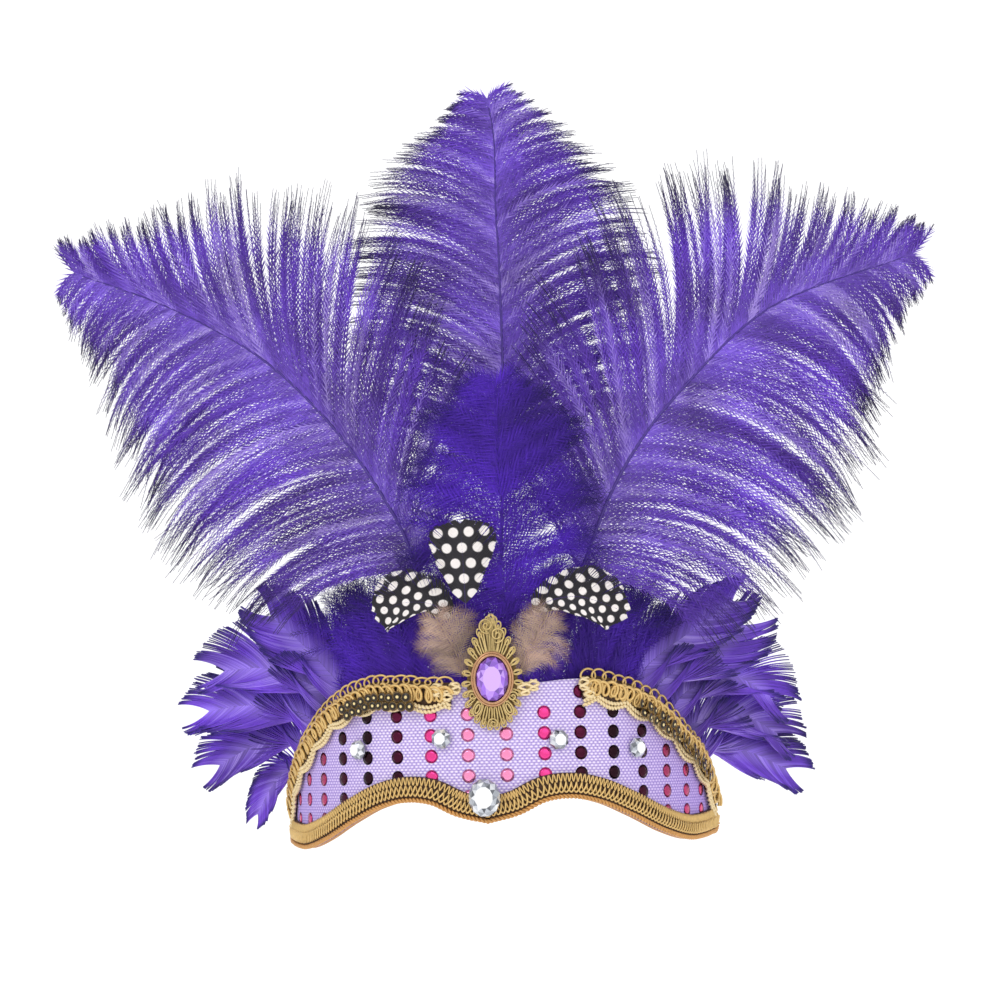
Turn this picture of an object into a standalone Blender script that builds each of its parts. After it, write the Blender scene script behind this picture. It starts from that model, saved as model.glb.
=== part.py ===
"""Carnival feather headdress.

A curved crown band of sequinned cloth carries gold braids, sequin rows, stones and a
medallion on its outer face. Three ostrich plumes, marabou, guinea fowl feathers, tan fluff
and smooth side feathers rise from quills that are fixed to its inner face.

Metres, +Z up. The front faces -Y and the wearer's head is on the +Y side. The origin is on
the inner face of the band, at the middle of the forehead. Positive angles on the band turn
to +X, which is the viewer's right.
"""
import math
from collections import namedtuple

import bmesh
import bpy
import numpy as np
from mathutils import Vector

CLEARANCE = 0.0003

# Crown band: half an ellipse in plan, with a wavy lower edge and sloping ends
BAND_HALF_WIDTH = 0.0875
BAND_DEPTH = 0.105
BAND_END_ANGLE = 82.0
BAND_WALL = 0.002
BAND_RISE = 0.0295
BAND_DROP = 0.0365
BAND_COLUMNS = 40
BAND_ROWS = 2
# Samples that turn angles on the band into arc lengths, and the step that slopes are read over
ARC_SAMPLES = 328
EDGE_STEP = 0.001

# Shares of BAND_END_ANGLE, BAND_DROP and BAND_RISE, the same on both sides
BandRow = namedtuple("BandRow", "angle lower upper")
BAND_OUTLINE = (
    BandRow(0.00, -0.74, 0.95),
    BandRow(0.10, -0.65, 0.95),
    BandRow(0.18, -0.52, 0.97),
    BandRow(0.26, -0.49, 1.00),
    BandRow(0.35, -0.55, 1.00),
    BandRow(0.46, -0.70, 0.90),
    BandRow(0.60, -0.90, 0.64),
    BandRow(0.74, -1.00, 0.22),
    BandRow(0.82, -0.99, 0.00),
    BandRow(0.90, -0.96, -0.30),
    BandRow(0.97, -0.92, -0.64),
    BandRow(1.00, -0.84, -0.76),
)

# Braids and sequin rows: lengths in metres, angles in degrees on the band
LOWER_BRAID_WIDTH = 0.010
LOWER_BRAID_THICKNESS = 0.0022
LOWER_BRAID_OVERHANG = 0.0006
LOWER_BRAID_PITCH = 0.0046
UPPER_BRAID_WIDTH = 0.0135
UPPER_BRAID_THICKNESS = 0.0026
UPPER_BRAID_OVERHANG = 0.0035
UPPER_BRAID_PITCH = 0.0058
UPPER_BRAID_LOOP = 0.0022
UPPER_BRAID_NARROWEST = 0.0034
BRAID_WIDTH_STEPS = 40
UPPER_BRAID_LEFT = (-80.5, -8.5)
UPPER_BRAID_RIGHT = (25.0, 80.5)
SCALLOP_PITCH = 0.0155
SCALLOP_DEPTH = 0.0022
SEQUIN_ROW_WIDTH = 0.0072
SEQUIN_ROW_THICKNESS = 0.0012
SEQUIN_ROW_INSET = 0.0042
SEQUIN_PITCH = 0.0052
SEQUIN_RIPPLE = 0.0007
SEQUIN_ROW_LEFT = (-40.0, -18.0)
SEQUIN_ROW_RIGHT = (42.0, 72.0)

# Cross-sections of the trims: shares of the width from the edge inwards, and of the thickness
TrimPoint = namedtuple("TrimPoint", "across lift")
LOWER_BRAID_SECTION = (
    TrimPoint(0.00, 0.0),
    TrimPoint(0.00, 0.7),
    TrimPoint(0.14, 1.0),
    TrimPoint(0.28, 0.6),
    TrimPoint(0.62, 0.9),
    TrimPoint(1.00, 0.6),
    TrimPoint(1.00, 0.0),
)
UPPER_BRAID_SECTION = (
    TrimPoint(0.00, 0.0),
    TrimPoint(0.00, 0.4),
    TrimPoint(0.26, 0.5),
    TrimPoint(0.42, 1.0),
    TrimPoint(0.70, 0.9),
    TrimPoint(1.00, 0.5),
    TrimPoint(1.00, 0.0),
)
SEQUIN_ROW_SECTION = (
    TrimPoint(0.00, 0.0),
    TrimPoint(0.00, 0.8),
    TrimPoint(0.50, 1.0),
    TrimPoint(1.00, 0.8),
    TrimPoint(1.00, 0.0),
)

# Medallion: a teardrop with a ring of loops, a bezel, two eyelets and two scrolls
MEDALLION_WIDTH = 0.0235
MEDALLION_HEIGHT = 0.0455
MEDALLION_PLATE = 0.0014
MEDALLION_TILT_ANGLE = 2.0
MEDALLION_CENTRE_HEIGHT = 0.0330
MEDALLION_LOOPS = 18
MEDALLION_LOOP_RISE = 0.0011
MEDALLION_TAPER = 0.6
BEZEL_RIM = 0.0010
BEZEL_HEIGHT = 0.0026
# The plate's dome: shares of the way out from the bezel and of the plate's thickness
DOME_REACH = 0.45
DOME_RISE = 1.35
BEZEL_FOOT_RISE = 1.1
BEZEL_TOP_SHARE = 0.8
# Open loops: the share of the height that they stop at, and shares of their length inwards
SLOT_WIDTH = 0.0010
SLOT_LENGTH = 0.0018
SLOT_TOP_SHARE = 0.36
SLOT_INSET_SHARE = 0.95
SLOT_SIDES = 6
# Eyelets: place beside and below the plate's centre, and how far their tops lean inwards
EYELET_WIDTH = 0.0012
EYELET_LENGTH = 0.0030
EYELET_ACROSS = 0.0062
EYELET_DROP = 0.0146
EYELET_LEAN = 24.0
EYELET_SIDES = 8
SCROLL_RADIUS = 0.0021
SCROLL_WIRE = 0.0007
SCROLL_STEPS = 10
SCROLL_SIDES = 5
# Places of the scrolls across the plate and down from its top, as shares of their radius
ScrollPlace = namedtuple("ScrollPlace", "across drop")
SCROLLS = (ScrollPlace(-0.9, 2.0), ScrollPlace(1.5, 4.3))

# Stones: width, height and depth
STONE_SIDES = 12
# Rings of a stone: shares of its width and of its depth, and a turn in facets
StoneLevel = namedtuple("StoneLevel", "scale out shift")
STONE_LEVELS = (
    StoneLevel(0.80, 0.00, 0.0),
    StoneLevel(1.00, 0.30, 0.5),
    StoneLevel(0.96, 0.45, 0.5),
    StoneLevel(0.56, 1.00, 0.0),
)
OVAL_STONE = (0.013, 0.018, 0.0045)
OVAL_STONE_HEIGHT = 0.0301
PEAK_STONE = (0.013, 0.0155, 0.0050)
PEAK_STONE_HEIGHT = -0.0169
PEAK_STONE_ANGLE = -0.6
ROUND_STONE = (0.0085, 0.0085, 0.0034)
# Shares of BAND_END_ANGLE and BAND_RISE
StonePlace = namedtuple("StonePlace", "angle height")
ROUND_STONES = (
    StonePlace(-0.438, 0.115),
    StonePlace(-0.139, 0.234),
    StonePlace(0.224, 0.183),
    StonePlace(0.495, 0.047),
)

# Feathers: barbs are drawn as pointed locks that are fused along the shaft
SIDE_PLUME_REACH = 0.2423
CENTRE_PLUME_REACH = 0.2535
PLUME_QUILL = 0.0016
PLUME_SHEET = 0.0016
PLUME_BARB = 0.080
CENTRE_PLUME_BARB = 0.068
PLUME_LOCKS = 18
CENTRE_PLUME_LOCKS = 16
SMALL_SHEET = 0.0011
MARABOU_REACH = 0.136
MARABOU_QUILL = 0.0009
MARABOU_BARB = 0.042
MARABOU_LOCKS = 12
MARABOU_FRINGE_BARB = 0.044
MARABOU_FRINGE_LOCKS = 7
MARABOU_FRINGE_KNOTS = 5
MARABOU_FRINGE_TUCK = 0.0040
MARABOU_FRINGE_CLEARANCE = 0.0006
MARABOU_FRINGE_LEFT = (-18.0, -34.0)
MARABOU_FRINGE_RIGHT = (22.0, 37.0)
GUINEA_CENTRE_REACH = 0.079
GUINEA_LEFT_REACH = 0.0535
GUINEA_RIGHT_REACH = 0.059
GUINEA_QUILL = 0.0007
GUINEA_CENTRE_BARB = 0.0175
GUINEA_SIDE_BARB = 0.0150
GUINEA_LOCKS = 5
TAN_FLUFF_REACH = 0.042
TAN_FLUFF_QUILL = 0.0006
TAN_FLUFF_BARB = 0.012
TAN_FLUFF_LOCKS = 5
SIDE_FEATHER_QUILL = 0.0008
SIDE_FEATHER_BARE = 0.019
SIDE_FEATHER_LOCKS = 4
QUILL_TUCK = 0.0145
SIDE_FEATHER_TUCK = 0.0080
PLUME_QUILL_ROUNDING = 1
SMALL_QUILL_ROUNDING = 0
QUILL_TIP_SHARE = 0.55
QUILL_END_SHARE = 0.985
QUILL_BARE_STEPS = 4
SHAFT_STEPS = 12
SHAFT_FRAME_STEP = 0.01

# Levels along a lock: share of the barb's length, and the lock's width there
LockLevel = namedtuple("LockLevel", "along width")
PLUME_LOCK = (LockLevel(0.40, 1.0), LockLevel(0.72, 0.86), LockLevel(1.0, 0.0))
BLUNT_LOCK = (LockLevel(0.70, 1.0), LockLevel(1.0, 0.60))
# How far neighbouring locks part in depth at their tips, as a share of their length
PLUME_STAGGER = 0.022
BLUNT_STAGGER = 0.010
# Every second lock is this share of its neighbour's length
SHORT_LOCK = 0.9

# A vane: barb lengths from the vane's foot to its tip as shares of the feather's barb, the
# angle of a barb to the shaft where it leaves it and at its tip, how much wider both are at
# the vane's foot, and how far a barb's tip comes forward, as a share of its length
Vane = namedtuple("Vane", "lengths start_angle end_angle foot_turn curl")
OUTER_VANE = Vane((0.84, 1.06, 1.10, 1.08, 0.94, 0.72, 0.44, 0.16), 42, 98, 26, -0.12)
INNER_VANE = Vane((0.62, 0.90, 1.04, 1.00, 0.84, 0.54, 0.38, 0.16), 33, 62, 0, 0.10)
CENTRE_VANE = Vane((0.74, 0.96, 1.08, 1.08, 0.88, 0.48, 0.14), 42, 92, 0, -0.08)
MARABOU_VANE = Vane((0.86, 0.98, 1.00, 0.95, 0.80, 0.52, 0.20), 46, 78, 14, 0.02)
GUINEA_VANE = Vane((0.45, 0.85, 1.00, 0.96, 0.76, 0.42), 48, 56, 0, -0.05)
TAN_VANE = Vane((0.60, 0.95, 1.00, 0.80, 0.45), 40, 62, 0, 0.02)
SMOOTH_VANE = Vane((0.56, 0.90, 1.00, 0.96, 0.80, 0.50), 30, 42, 6, -0.04)
FRINGE_VANE = Vane((0.90, 1.00, 0.98, 0.94, 0.86), 82, 54, 0, 0.08)
NO_VANE = Vane((0.02, 0.02), 82, 80, 0, 0.0)

# Where a feather starts: its angle on the band, and the share of the shaft without a vane
Root = namedtuple("Root", "angle vane_from")
PLUME_LEFT_ROOT = Root(-10.5, 0.23)
PLUME_RIGHT_ROOT = Root(13.5, 0.23)
PLUME_CENTRE_ROOT = Root(3.3, 0.36)
MARABOU_ROOT = Root(6.2, 0.30)
MARABOU_FRINGE_FROM = 0.04
GUINEA_CENTRE_ROOT = Root(-2.9, 0.60)
GUINEA_LEFT_ROOT = Root(-7.5, 0.56)
GUINEA_RIGHT_ROOT = Root(10.2, 0.52)
TAN_LEFT_ROOT = Root(-5.2, 0.48)
TAN_RIGHT_ROOT = Root(8.2, 0.48)

# Routes of the shafts from their roots: away from the middle, up and back, as shares of the reach
RoutePoint = namedtuple("RoutePoint", "out up back")
PLUME_LEFT_ROUTE = (
    RoutePoint(0.023, 0.128, 0.006),
    RoutePoint(0.054, 0.275, 0.018),
    RoutePoint(0.094, 0.364, 0.034),
    RoutePoint(0.180, 0.492, 0.059),
    RoutePoint(0.305, 0.620, 0.092),
    RoutePoint(0.460, 0.714, 0.109),
    RoutePoint(0.626, 0.780, 0.084),
)
PLUME_RIGHT_ROUTE = (
    RoutePoint(0.034, 0.128, 0.015),
    RoutePoint(0.089, 0.266, 0.024),
    RoutePoint(0.129, 0.366, 0.038),
    RoutePoint(0.181, 0.456, 0.054),
    RoutePoint(0.243, 0.533, 0.071),
    RoutePoint(0.361, 0.650, 0.096),
    RoutePoint(0.461, 0.706, 0.104),
    RoutePoint(0.647, 0.760, 0.079),
)
PLUME_CENTRE_ROUTE = (
    RoutePoint(0.002, 0.102, 0.012),
    RoutePoint(0.008, 0.298, 0.062),
    RoutePoint(0.014, 0.535, 0.100),
    RoutePoint(0.012, 0.737, 0.114),
    RoutePoint(0.009, 0.826, 0.110),
    RoutePoint(0.011, 0.935, 0.086),
    RoutePoint(0.004, 1.000, 0.052),
)
MARABOU_ROUTE = (
    RoutePoint(0.000, 0.228, 0.014),
    RoutePoint(-0.002, 0.338, 0.004),
    RoutePoint(-0.004, 0.463, -0.035),
    RoutePoint(-0.007, 0.632, -0.064),
    RoutePoint(-0.007, 0.853, -0.079),
    RoutePoint(-0.007, 1.000, -0.086),
)
GUINEA_CENTRE_ROUTE = (
    RoutePoint(-0.013, 0.329, 0.001),
    RoutePoint(-0.025, 0.481, -0.020),
    RoutePoint(-0.029, 0.600, -0.080),
    RoutePoint(-0.030, 0.781, -0.141),
    RoutePoint(-0.038, 0.992, -0.166),
)
GUINEA_LEFT_ROUTE = (
    RoutePoint(0.006, 0.374, 0.002),
    RoutePoint(0.009, 0.600, -0.026),
    RoutePoint(0.037, 0.748, -0.070),
    RoutePoint(0.140, 0.869, -0.130),
    RoutePoint(0.346, 0.897, -0.194),
    RoutePoint(0.570, 0.822, -0.205),
)
GUINEA_RIGHT_ROUTE = (
    RoutePoint(0.003, 0.339, -0.005),
    RoutePoint(0.009, 0.542, -0.032),
    RoutePoint(0.051, 0.678, -0.075),
    RoutePoint(0.178, 0.788, -0.130),
    RoutePoint(0.415, 0.814, -0.190),
    RoutePoint(0.712, 0.703, -0.205),
)
TAN_LEFT_ROUTE = (
    RoutePoint(0.007, 0.330, 0.004),
    RoutePoint(0.052, 0.571, -0.050),
    RoutePoint(0.150, 0.800, -0.094),
    RoutePoint(0.245, 0.976, -0.165),
)
TAN_RIGHT_ROUTE = (
    RoutePoint(0.012, 0.330, 0.006),
    RoutePoint(0.090, 0.571, -0.046),
    RoutePoint(0.210, 0.780, -0.110),
    RoutePoint(0.310, 0.976, -0.180),
)

# Side feathers from front to back: side of the band (-1 left), angle on the band, reach,
# barb and route
SideFeather = namedtuple("SideFeather", "side angle reach barb route")
SIDE_FEATHERS = (
    SideFeather(-1, 45, 0.0575, 0.023, (
        RoutePoint(0.020, 0.260, 0.010),
        RoutePoint(0.123, 0.404, 0.054),
        RoutePoint(0.315, 0.600, 0.141),
        RoutePoint(0.523, 0.786, 0.210),
    )),
    SideFeather(-1, 51, 0.0550, 0.024, (
        RoutePoint(0.018, 0.268, 0.015),
        RoutePoint(0.182, 0.416, 0.064),
        RoutePoint(0.493, 0.527, 0.119),
        RoutePoint(0.803, 0.519, 0.173),
    )),
    SideFeather(-1, 59, 0.0530, 0.023, (
        RoutePoint(0.019, 0.273, 0.010),
        RoutePoint(0.207, 0.385, 0.056),
        RoutePoint(0.546, 0.434, 0.113),
        RoutePoint(0.866, 0.399, 0.188),
    )),
    SideFeather(-1, 67, 0.0405, 0.020, (
        RoutePoint(0.025, 0.345, 0.010),
        RoutePoint(0.259, 0.411, 0.074),
        RoutePoint(0.603, 0.340, 0.148),
        RoutePoint(0.948, 0.162, 0.222),
    )),
    SideFeather(-1, 74, 0.0270, 0.011, (
        RoutePoint(0.033, 0.520, 0.015),
        RoutePoint(0.300, 0.452, 0.074),
        RoutePoint(0.560, 0.174, 0.148),
        RoutePoint(0.760, -0.180, 0.220),
    )),
    SideFeather(1, 44, 0.0626, 0.021, (
        RoutePoint(0.019, 0.240, 0.014),
        RoutePoint(0.147, 0.386, 0.070),
        RoutePoint(0.403, 0.565, 0.150),
        RoutePoint(0.621, 0.719, 0.230),
    )),
    SideFeather(1, 50, 0.0580, 0.024, (
        RoutePoint(0.017, 0.253, 0.016),
        RoutePoint(0.172, 0.394, 0.076),
        RoutePoint(0.414, 0.532, 0.145),
        RoutePoint(0.638, 0.695, 0.214),
    )),
    SideFeather(1, 57, 0.0474, 0.022, (
        RoutePoint(0.023, 0.306, 0.013),
        RoutePoint(0.224, 0.495, 0.086),
        RoutePoint(0.561, 0.572, 0.171),
        RoutePoint(0.857, 0.407, 0.255),
    )),
    SideFeather(1, 65, 0.0413, 0.021, (
        RoutePoint(0.024, 0.339, 0.019),
        RoutePoint(0.259, 0.454, 0.104),
        RoutePoint(0.598, 0.460, 0.201),
        RoutePoint(0.901, 0.286, 0.298),
    )),
    SideFeather(1, 72, 0.0387, 0.020, (
        RoutePoint(0.026, 0.349, 0.021),
        RoutePoint(0.279, 0.390, 0.111),
        RoutePoint(0.615, 0.309, 0.189),
        RoutePoint(0.946, 0.143, 0.292),
    )),
)

# Colours, linear RGB, with roughness and metallic
Finish = namedtuple("Finish", "colour roughness metallic")
LILAC_CLOTH = Finish((0.42, 0.32, 0.66), 0.8, 0.0)
GOLD_BRAID = Finish((0.50, 0.33, 0.10), 0.45, 0.7)
BRONZE_SEQUIN = Finish((0.10, 0.05, 0.02), 0.25, 0.9)
GILT_METAL = Finish((0.48, 0.36, 0.16), 0.35, 1.0)
AMETHYST_GLASS = Finish((0.32, 0.08, 0.62), 0.05, 0.0)
CLEAR_GLASS = Finish((0.75, 0.77, 0.80), 0.05, 0.0)
VIOLET_PLUME = Finish((0.12, 0.05, 0.48), 0.7, 0.0)
DEEP_VIOLET = Finish((0.06, 0.02, 0.34), 0.8, 0.0)
GUINEA_BLACK = Finish((0.02, 0.016, 0.02), 0.7, 0.0)
TAN_DOWN = Finish((0.42, 0.28, 0.19), 0.9, 0.0)


def clear_scene():
    for item in list(bpy.data.objects):
        bpy.data.objects.remove(item)


def new_collection(name):
    collection = bpy.data.collections.new(name)
    bpy.context.scene.collection.children.link(collection)
    return collection


def new_material(name, finish):
    material = bpy.data.materials.new(name)
    material.use_nodes = True
    shader = material.node_tree.nodes["Principled BSDF"]
    shader.inputs["Base Color"].default_value = (*finish.colour, 1.0)
    shader.inputs["Roughness"].default_value = finish.roughness
    shader.inputs["Metallic"].default_value = finish.metallic
    material.diffuse_color = (*finish.colour, 1.0)
    return material


def new_object(name, bm, finish, collection):
    """Makes a bmesh an object with its normals out and its own material."""
    bmesh.ops.recalc_face_normals(bm, faces=bm.faces)
    mesh = bpy.data.meshes.new(name)
    bm.to_mesh(mesh)
    bm.free()
    mesh.materials.append(new_material(name, finish))
    item = bpy.data.objects.new(name, mesh)
    collection.objects.link(item)
    return item


def as_helper(item):
    item.hide_render = True
    item.display_type = "WIRE"


def smooth_value(places, values, place):
    """Cubic interpolation through a table, with the slope of each row's neighbours."""
    places = np.asarray(places, dtype=float)
    values = np.asarray(values, dtype=float)
    slopes = np.gradient(values, places)
    row = int(np.clip(np.searchsorted(places, place) - 1, 0, len(places) - 2))
    span = places[row + 1] - places[row]
    t = float(np.clip((place - places[row]) / span, 0.0, 1.0))
    return float(
        (2 * t ** 3 - 3 * t ** 2 + 1) * values[row]
        + (t ** 3 - 2 * t ** 2 + t) * span * slopes[row]
        + (3 * t ** 2 - 2 * t ** 3) * values[row + 1]
        + (t ** 3 - t ** 2) * span * slopes[row + 1]
    )


def on_band(angle, height, offset):
    """A point at an offset outwards from the band's inner face, at an angle in degrees."""
    turn = math.radians(angle)
    outward = band_normal(angle)
    x = BAND_HALF_WIDTH * math.sin(turn)
    y = BAND_DEPTH * (1 - math.cos(turn))
    return Vector((x + offset * outward.x, y + offset * outward.y, height))


def band_normal(angle):
    turn = math.radians(angle)
    slope = Vector((math.sin(turn) / BAND_HALF_WIDTH, -math.cos(turn) / BAND_DEPTH, 0))
    return slope.normalized()


def lower_edge(angle):
    rows = [row.angle for row in BAND_OUTLINE]
    share = smooth_value(rows, [row.lower for row in BAND_OUTLINE], abs(angle) / BAND_END_ANGLE)
    return share * BAND_DROP


def upper_edge(angle):
    rows = [row.angle for row in BAND_OUTLINE]
    share = smooth_value(rows, [row.upper for row in BAND_OUTLINE], abs(angle) / BAND_END_ANGLE)
    return share * BAND_RISE


def arc_table():
    """Angles along the band and the arc length to each, measured from the middle."""
    angles = np.linspace(-BAND_END_ANGLE, BAND_END_ANGLE, ARC_SAMPLES + 1)
    points = np.array([on_band(angle, 0.0, BAND_WALL) for angle in angles])
    steps = np.linalg.norm(np.diff(points, axis=0), axis=1)
    arcs = np.concatenate(([0.0], np.cumsum(steps)))
    return angles, arcs - arcs[-1] / 2


BAND_ANGLES, BAND_ARCS = arc_table()


def angle_at(arc):
    return float(np.interp(arc, BAND_ARCS, BAND_ANGLES))


def arc_at(angle):
    return float(np.interp(angle, BAND_ANGLES, BAND_ARCS))


def edge_slope(edge, arc):
    """How steeply an edge climbs with the arc length."""
    climb = edge(angle_at(arc + EDGE_STEP)) - edge(angle_at(arc - EDGE_STEP))
    return climb / (2 * EDGE_STEP)


def mapped_grid(columns, rows, place):
    """A grid whose points go where place(u, v) says, with u and v from 0 to 1."""
    bm = bmesh.new()
    bmesh.ops.create_grid(bm, x_segments=columns, y_segments=rows, size=0.5)
    for vert in bm.verts:
        vert.co = place(vert.co.x + 0.5, vert.co.y + 0.5)
    return bm


def loft(rings):
    """A closed solid through rings that have the same number of points, with flat ends."""
    bm = bmesh.new()
    loops = [[bm.verts.new(point) for point in ring] for ring in rings]
    for near, far in zip(loops, loops[1:]):
        for i in range(len(near)):
            j = (i + 1) % len(near)
            bm.faces.new((near[i], near[j], far[j], far[i]))
    bm.faces.new(loops[0])
    bm.faces.new(loops[-1])
    return bm


def make_band(parts):
    def place(u, v):
        angle = (2 * u - 1) * BAND_END_ANGLE
        low, high = lower_edge(angle), upper_edge(angle)
        return on_band(angle, low + v * (high - low), 0.0)

    bm = mapped_grid(BAND_COLUMNS, BAND_ROWS, place)
    band = new_object("crown_band", bm, LILAC_CLOTH, parts)
    wall = band.modifiers.new("Wall", "SOLIDIFY")
    wall.thickness = BAND_WALL
    wall.offset = 1.0 if grid_faces_out(band.data) else -1.0
    return band


def grid_faces_out(mesh):
    """Whether the middle face of the band's surface looks towards the front."""
    front = min(mesh.polygons, key=lambda face: face.center.y)
    return front.normal.y < 0


def trim_station(edge, inwards, arc, across):
    """Angle and height at a distance across a trim, measured square to the band's edge."""
    slope = edge_slope(edge, arc)
    length = math.hypot(1.0, slope)
    height = edge(angle_at(arc)) + inwards * across / length
    return angle_at(arc - inwards * across * slope / length), height


def lower_braid_top(angle):
    slope = edge_slope(lower_edge, arc_at(angle))
    return lower_edge(angle) + LOWER_BRAID_WIDTH * math.hypot(1.0, slope)


def upper_braid_width(arc):
    """The upper braid's width, narrowed near the ends to stay clear of the lower one."""
    step = UPPER_BRAID_WIDTH / BRAID_WIDTH_STEPS
    width = 0.0
    while width < UPPER_BRAID_WIDTH:
        angle, height = trim_station(upper_edge, -1, arc, width + step - UPPER_BRAID_OVERHANG)
        if height < lower_braid_top(angle) + 2 * CLEARANCE:
            break
        width += step
    return width


def trim_rings(edge, inwards, span, stations, section, base, thickness, width_at, overhang_at):
    """Sections of a trim that follows an edge of the band between two angles."""
    first, last = arc_at(span[0]), arc_at(span[1])
    rings = []
    for number in range(stations + 1):
        arc = first + (last - first) * number / stations
        outer = -overhang_at(number)
        inner = -overhang_at(0) + width_at(arc)
        ring = []
        for point in section:
            across = outer + point.across * (inner - outer)
            angle, height = trim_station(edge, inwards, arc, across)
            ring.append(on_band(angle, height, base + point.lift * thickness))
        rings.append(ring)
    return rings


def stations_for(span, pitch):
    return 2 * round((arc_at(span[1]) - arc_at(span[0])) / pitch)


def make_lower_braid(parts):
    span = (-BAND_END_ANGLE, BAND_END_ANGLE)
    stations = stations_for(span, 2 * LOWER_BRAID_PITCH)

    def ripple(number):
        return LOWER_BRAID_OVERHANG * (1 - number % 2)

    rings = trim_rings(
        lower_edge, 1, span, stations, LOWER_BRAID_SECTION, BAND_WALL + CLEARANCE,
        LOWER_BRAID_THICKNESS, lambda arc: LOWER_BRAID_WIDTH, ripple)
    return new_object("lower_braid", loft(rings), GOLD_BRAID, parts)


def make_upper_braid(name, span, parts):
    def loops(number):
        return UPPER_BRAID_OVERHANG - UPPER_BRAID_LOOP * (number % 2)

    def scalloped_width(arc):
        scallop = SCALLOP_DEPTH * abs(math.sin(math.pi * arc / SCALLOP_PITCH))
        return max(UPPER_BRAID_NARROWEST, upper_braid_width(arc) - SCALLOP_DEPTH + scallop)

    rings = trim_rings(
        upper_edge, -1, span, stations_for(span, UPPER_BRAID_PITCH), UPPER_BRAID_SECTION,
        BAND_WALL + CLEARANCE, UPPER_BRAID_THICKNESS, scalloped_width, loops)
    return new_object(name, loft(rings), GOLD_BRAID, parts)


def make_sequin_row(name, span, parts):
    def edges(number):
        return -SEQUIN_ROW_INSET - SEQUIN_RIPPLE * (number % 2)

    base = BAND_WALL + UPPER_BRAID_THICKNESS + 2 * CLEARANCE
    rings = trim_rings(
        upper_edge, -1, span, stations_for(span, SEQUIN_PITCH), SEQUIN_ROW_SECTION, base,
        SEQUIN_ROW_THICKNESS, lambda arc: SEQUIN_ROW_WIDTH, edges)
    return new_object(name, loft(rings), BRONZE_SEQUIN, parts)


def plate_frame(angle, height, offset):
    """Origin, right, up and outward directions of a flat piece that touches the band."""
    outward = band_normal(angle)
    up = Vector((0, 0, 1))
    return on_band(angle, height, offset), up.cross(outward), up, outward


def in_plate(frame, across, up, out):
    origin, right, rise, outward = frame
    return origin + right * across + rise * up + outward * out


def taper(turn):
    """Half width of a teardrop with a narrow top, at a turn from that top."""
    return math.sin(turn) * abs(math.sin(turn / 2)) ** MEDALLION_TAPER


FULLEST_TAPER = max(taper(turn) for turn in np.linspace(0.0, math.pi, 61))


def teardrop(turn, grow):
    """Point of the medallion's outline at a turn from its narrow top, grown by a distance."""
    share = taper(turn) / FULLEST_TAPER
    return share * (MEDALLION_WIDTH / 2 + grow), math.cos(turn) * (MEDALLION_HEIGHT / 2 + grow)


def medallion_ring(frame, size, out, scallop):
    """A ring of the medallion between the bezel (size 0) and its outline (size 1)."""
    bezel_drop = OVAL_STONE_HEIGHT - MEDALLION_CENTRE_HEIGHT
    ring = []
    for number in range(2 * MEDALLION_LOOPS):
        turn = 2 * math.pi * (number + 0.5) / (2 * MEDALLION_LOOPS)
        x_out, z_out = teardrop(turn, scallop * (number % 2))
        x_in = (OVAL_STONE[0] / 2 + CLEARANCE + BEZEL_RIM) * math.sin(turn)
        z_in = (OVAL_STONE[1] / 2 + CLEARANCE + BEZEL_RIM) * math.cos(turn) + bezel_drop
        across = x_in + size * (x_out - x_in)
        up = z_in + size * (z_out - z_in)
        ring.append(in_plate(frame, across, up, out))
    return ring


def bezel_ring(frame, rim, out):
    """A ring round the oval stone, at a share of the bezel's rim outside its seat."""
    drop = OVAL_STONE_HEIGHT - MEDALLION_CENTRE_HEIGHT
    margin = CLEARANCE + rim * BEZEL_RIM
    ring = []
    for number in range(2 * MEDALLION_LOOPS):
        turn = 2 * math.pi * (number + 0.5) / (2 * MEDALLION_LOOPS)
        across = (OVAL_STONE[0] / 2 + margin) * math.sin(turn)
        up = (OVAL_STONE[1] / 2 + margin) * math.cos(turn) + drop
        ring.append(in_plate(frame, across, up, out))
    return ring


def prism_cutter(frame, across, up, turn, width, length, sides, name, helpers):
    """A closed prism through the plate, long in the direction of its turn."""
    rings = []
    for out in (-MEDALLION_PLATE, 3 * MEDALLION_PLATE):
        ring = []
        for number in range(sides):
            step = 2 * math.pi * (number + 0.5) / sides
            wide, long = math.cos(step) * width / 2, math.sin(step) * length / 2
            x = across + wide * math.cos(turn) + long * math.sin(turn)
            z = up - wide * math.sin(turn) + long * math.cos(turn)
            ring.append(in_plate(frame, x, z, out))
        rings.append(ring)
    return new_object(name, loft(rings), GILT_METAL, helpers)


def medallion_slots(frame, helpers):
    """Cutters for the open centres of the loops and for the two eyelets."""
    cutters = []
    for number in range(MEDALLION_LOOPS):
        turn = 2 * math.pi * (number + 1.0) / MEDALLION_LOOPS
        x, z = teardrop(turn, MEDALLION_LOOP_RISE)
        if z > MEDALLION_HEIGHT * SLOT_TOP_SHARE:
            continue
        kept = 1 - SLOT_LENGTH * SLOT_INSET_SHARE / math.hypot(x, z)
        cutters.append(prism_cutter(
            frame, x * kept, z * kept, math.atan2(x, z), SLOT_WIDTH, SLOT_LENGTH, SLOT_SIDES,
            f"slot_{number}", helpers))
    for side in (-1, 1):
        lean = -side * math.radians(EYELET_LEAN)
        cutters.append(prism_cutter(
            frame, side * EYELET_ACROSS, -EYELET_DROP, lean, EYELET_WIDTH, EYELET_LENGTH,
            EYELET_SIDES, f"eyelet_{side}", helpers))
    return cutters


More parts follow.
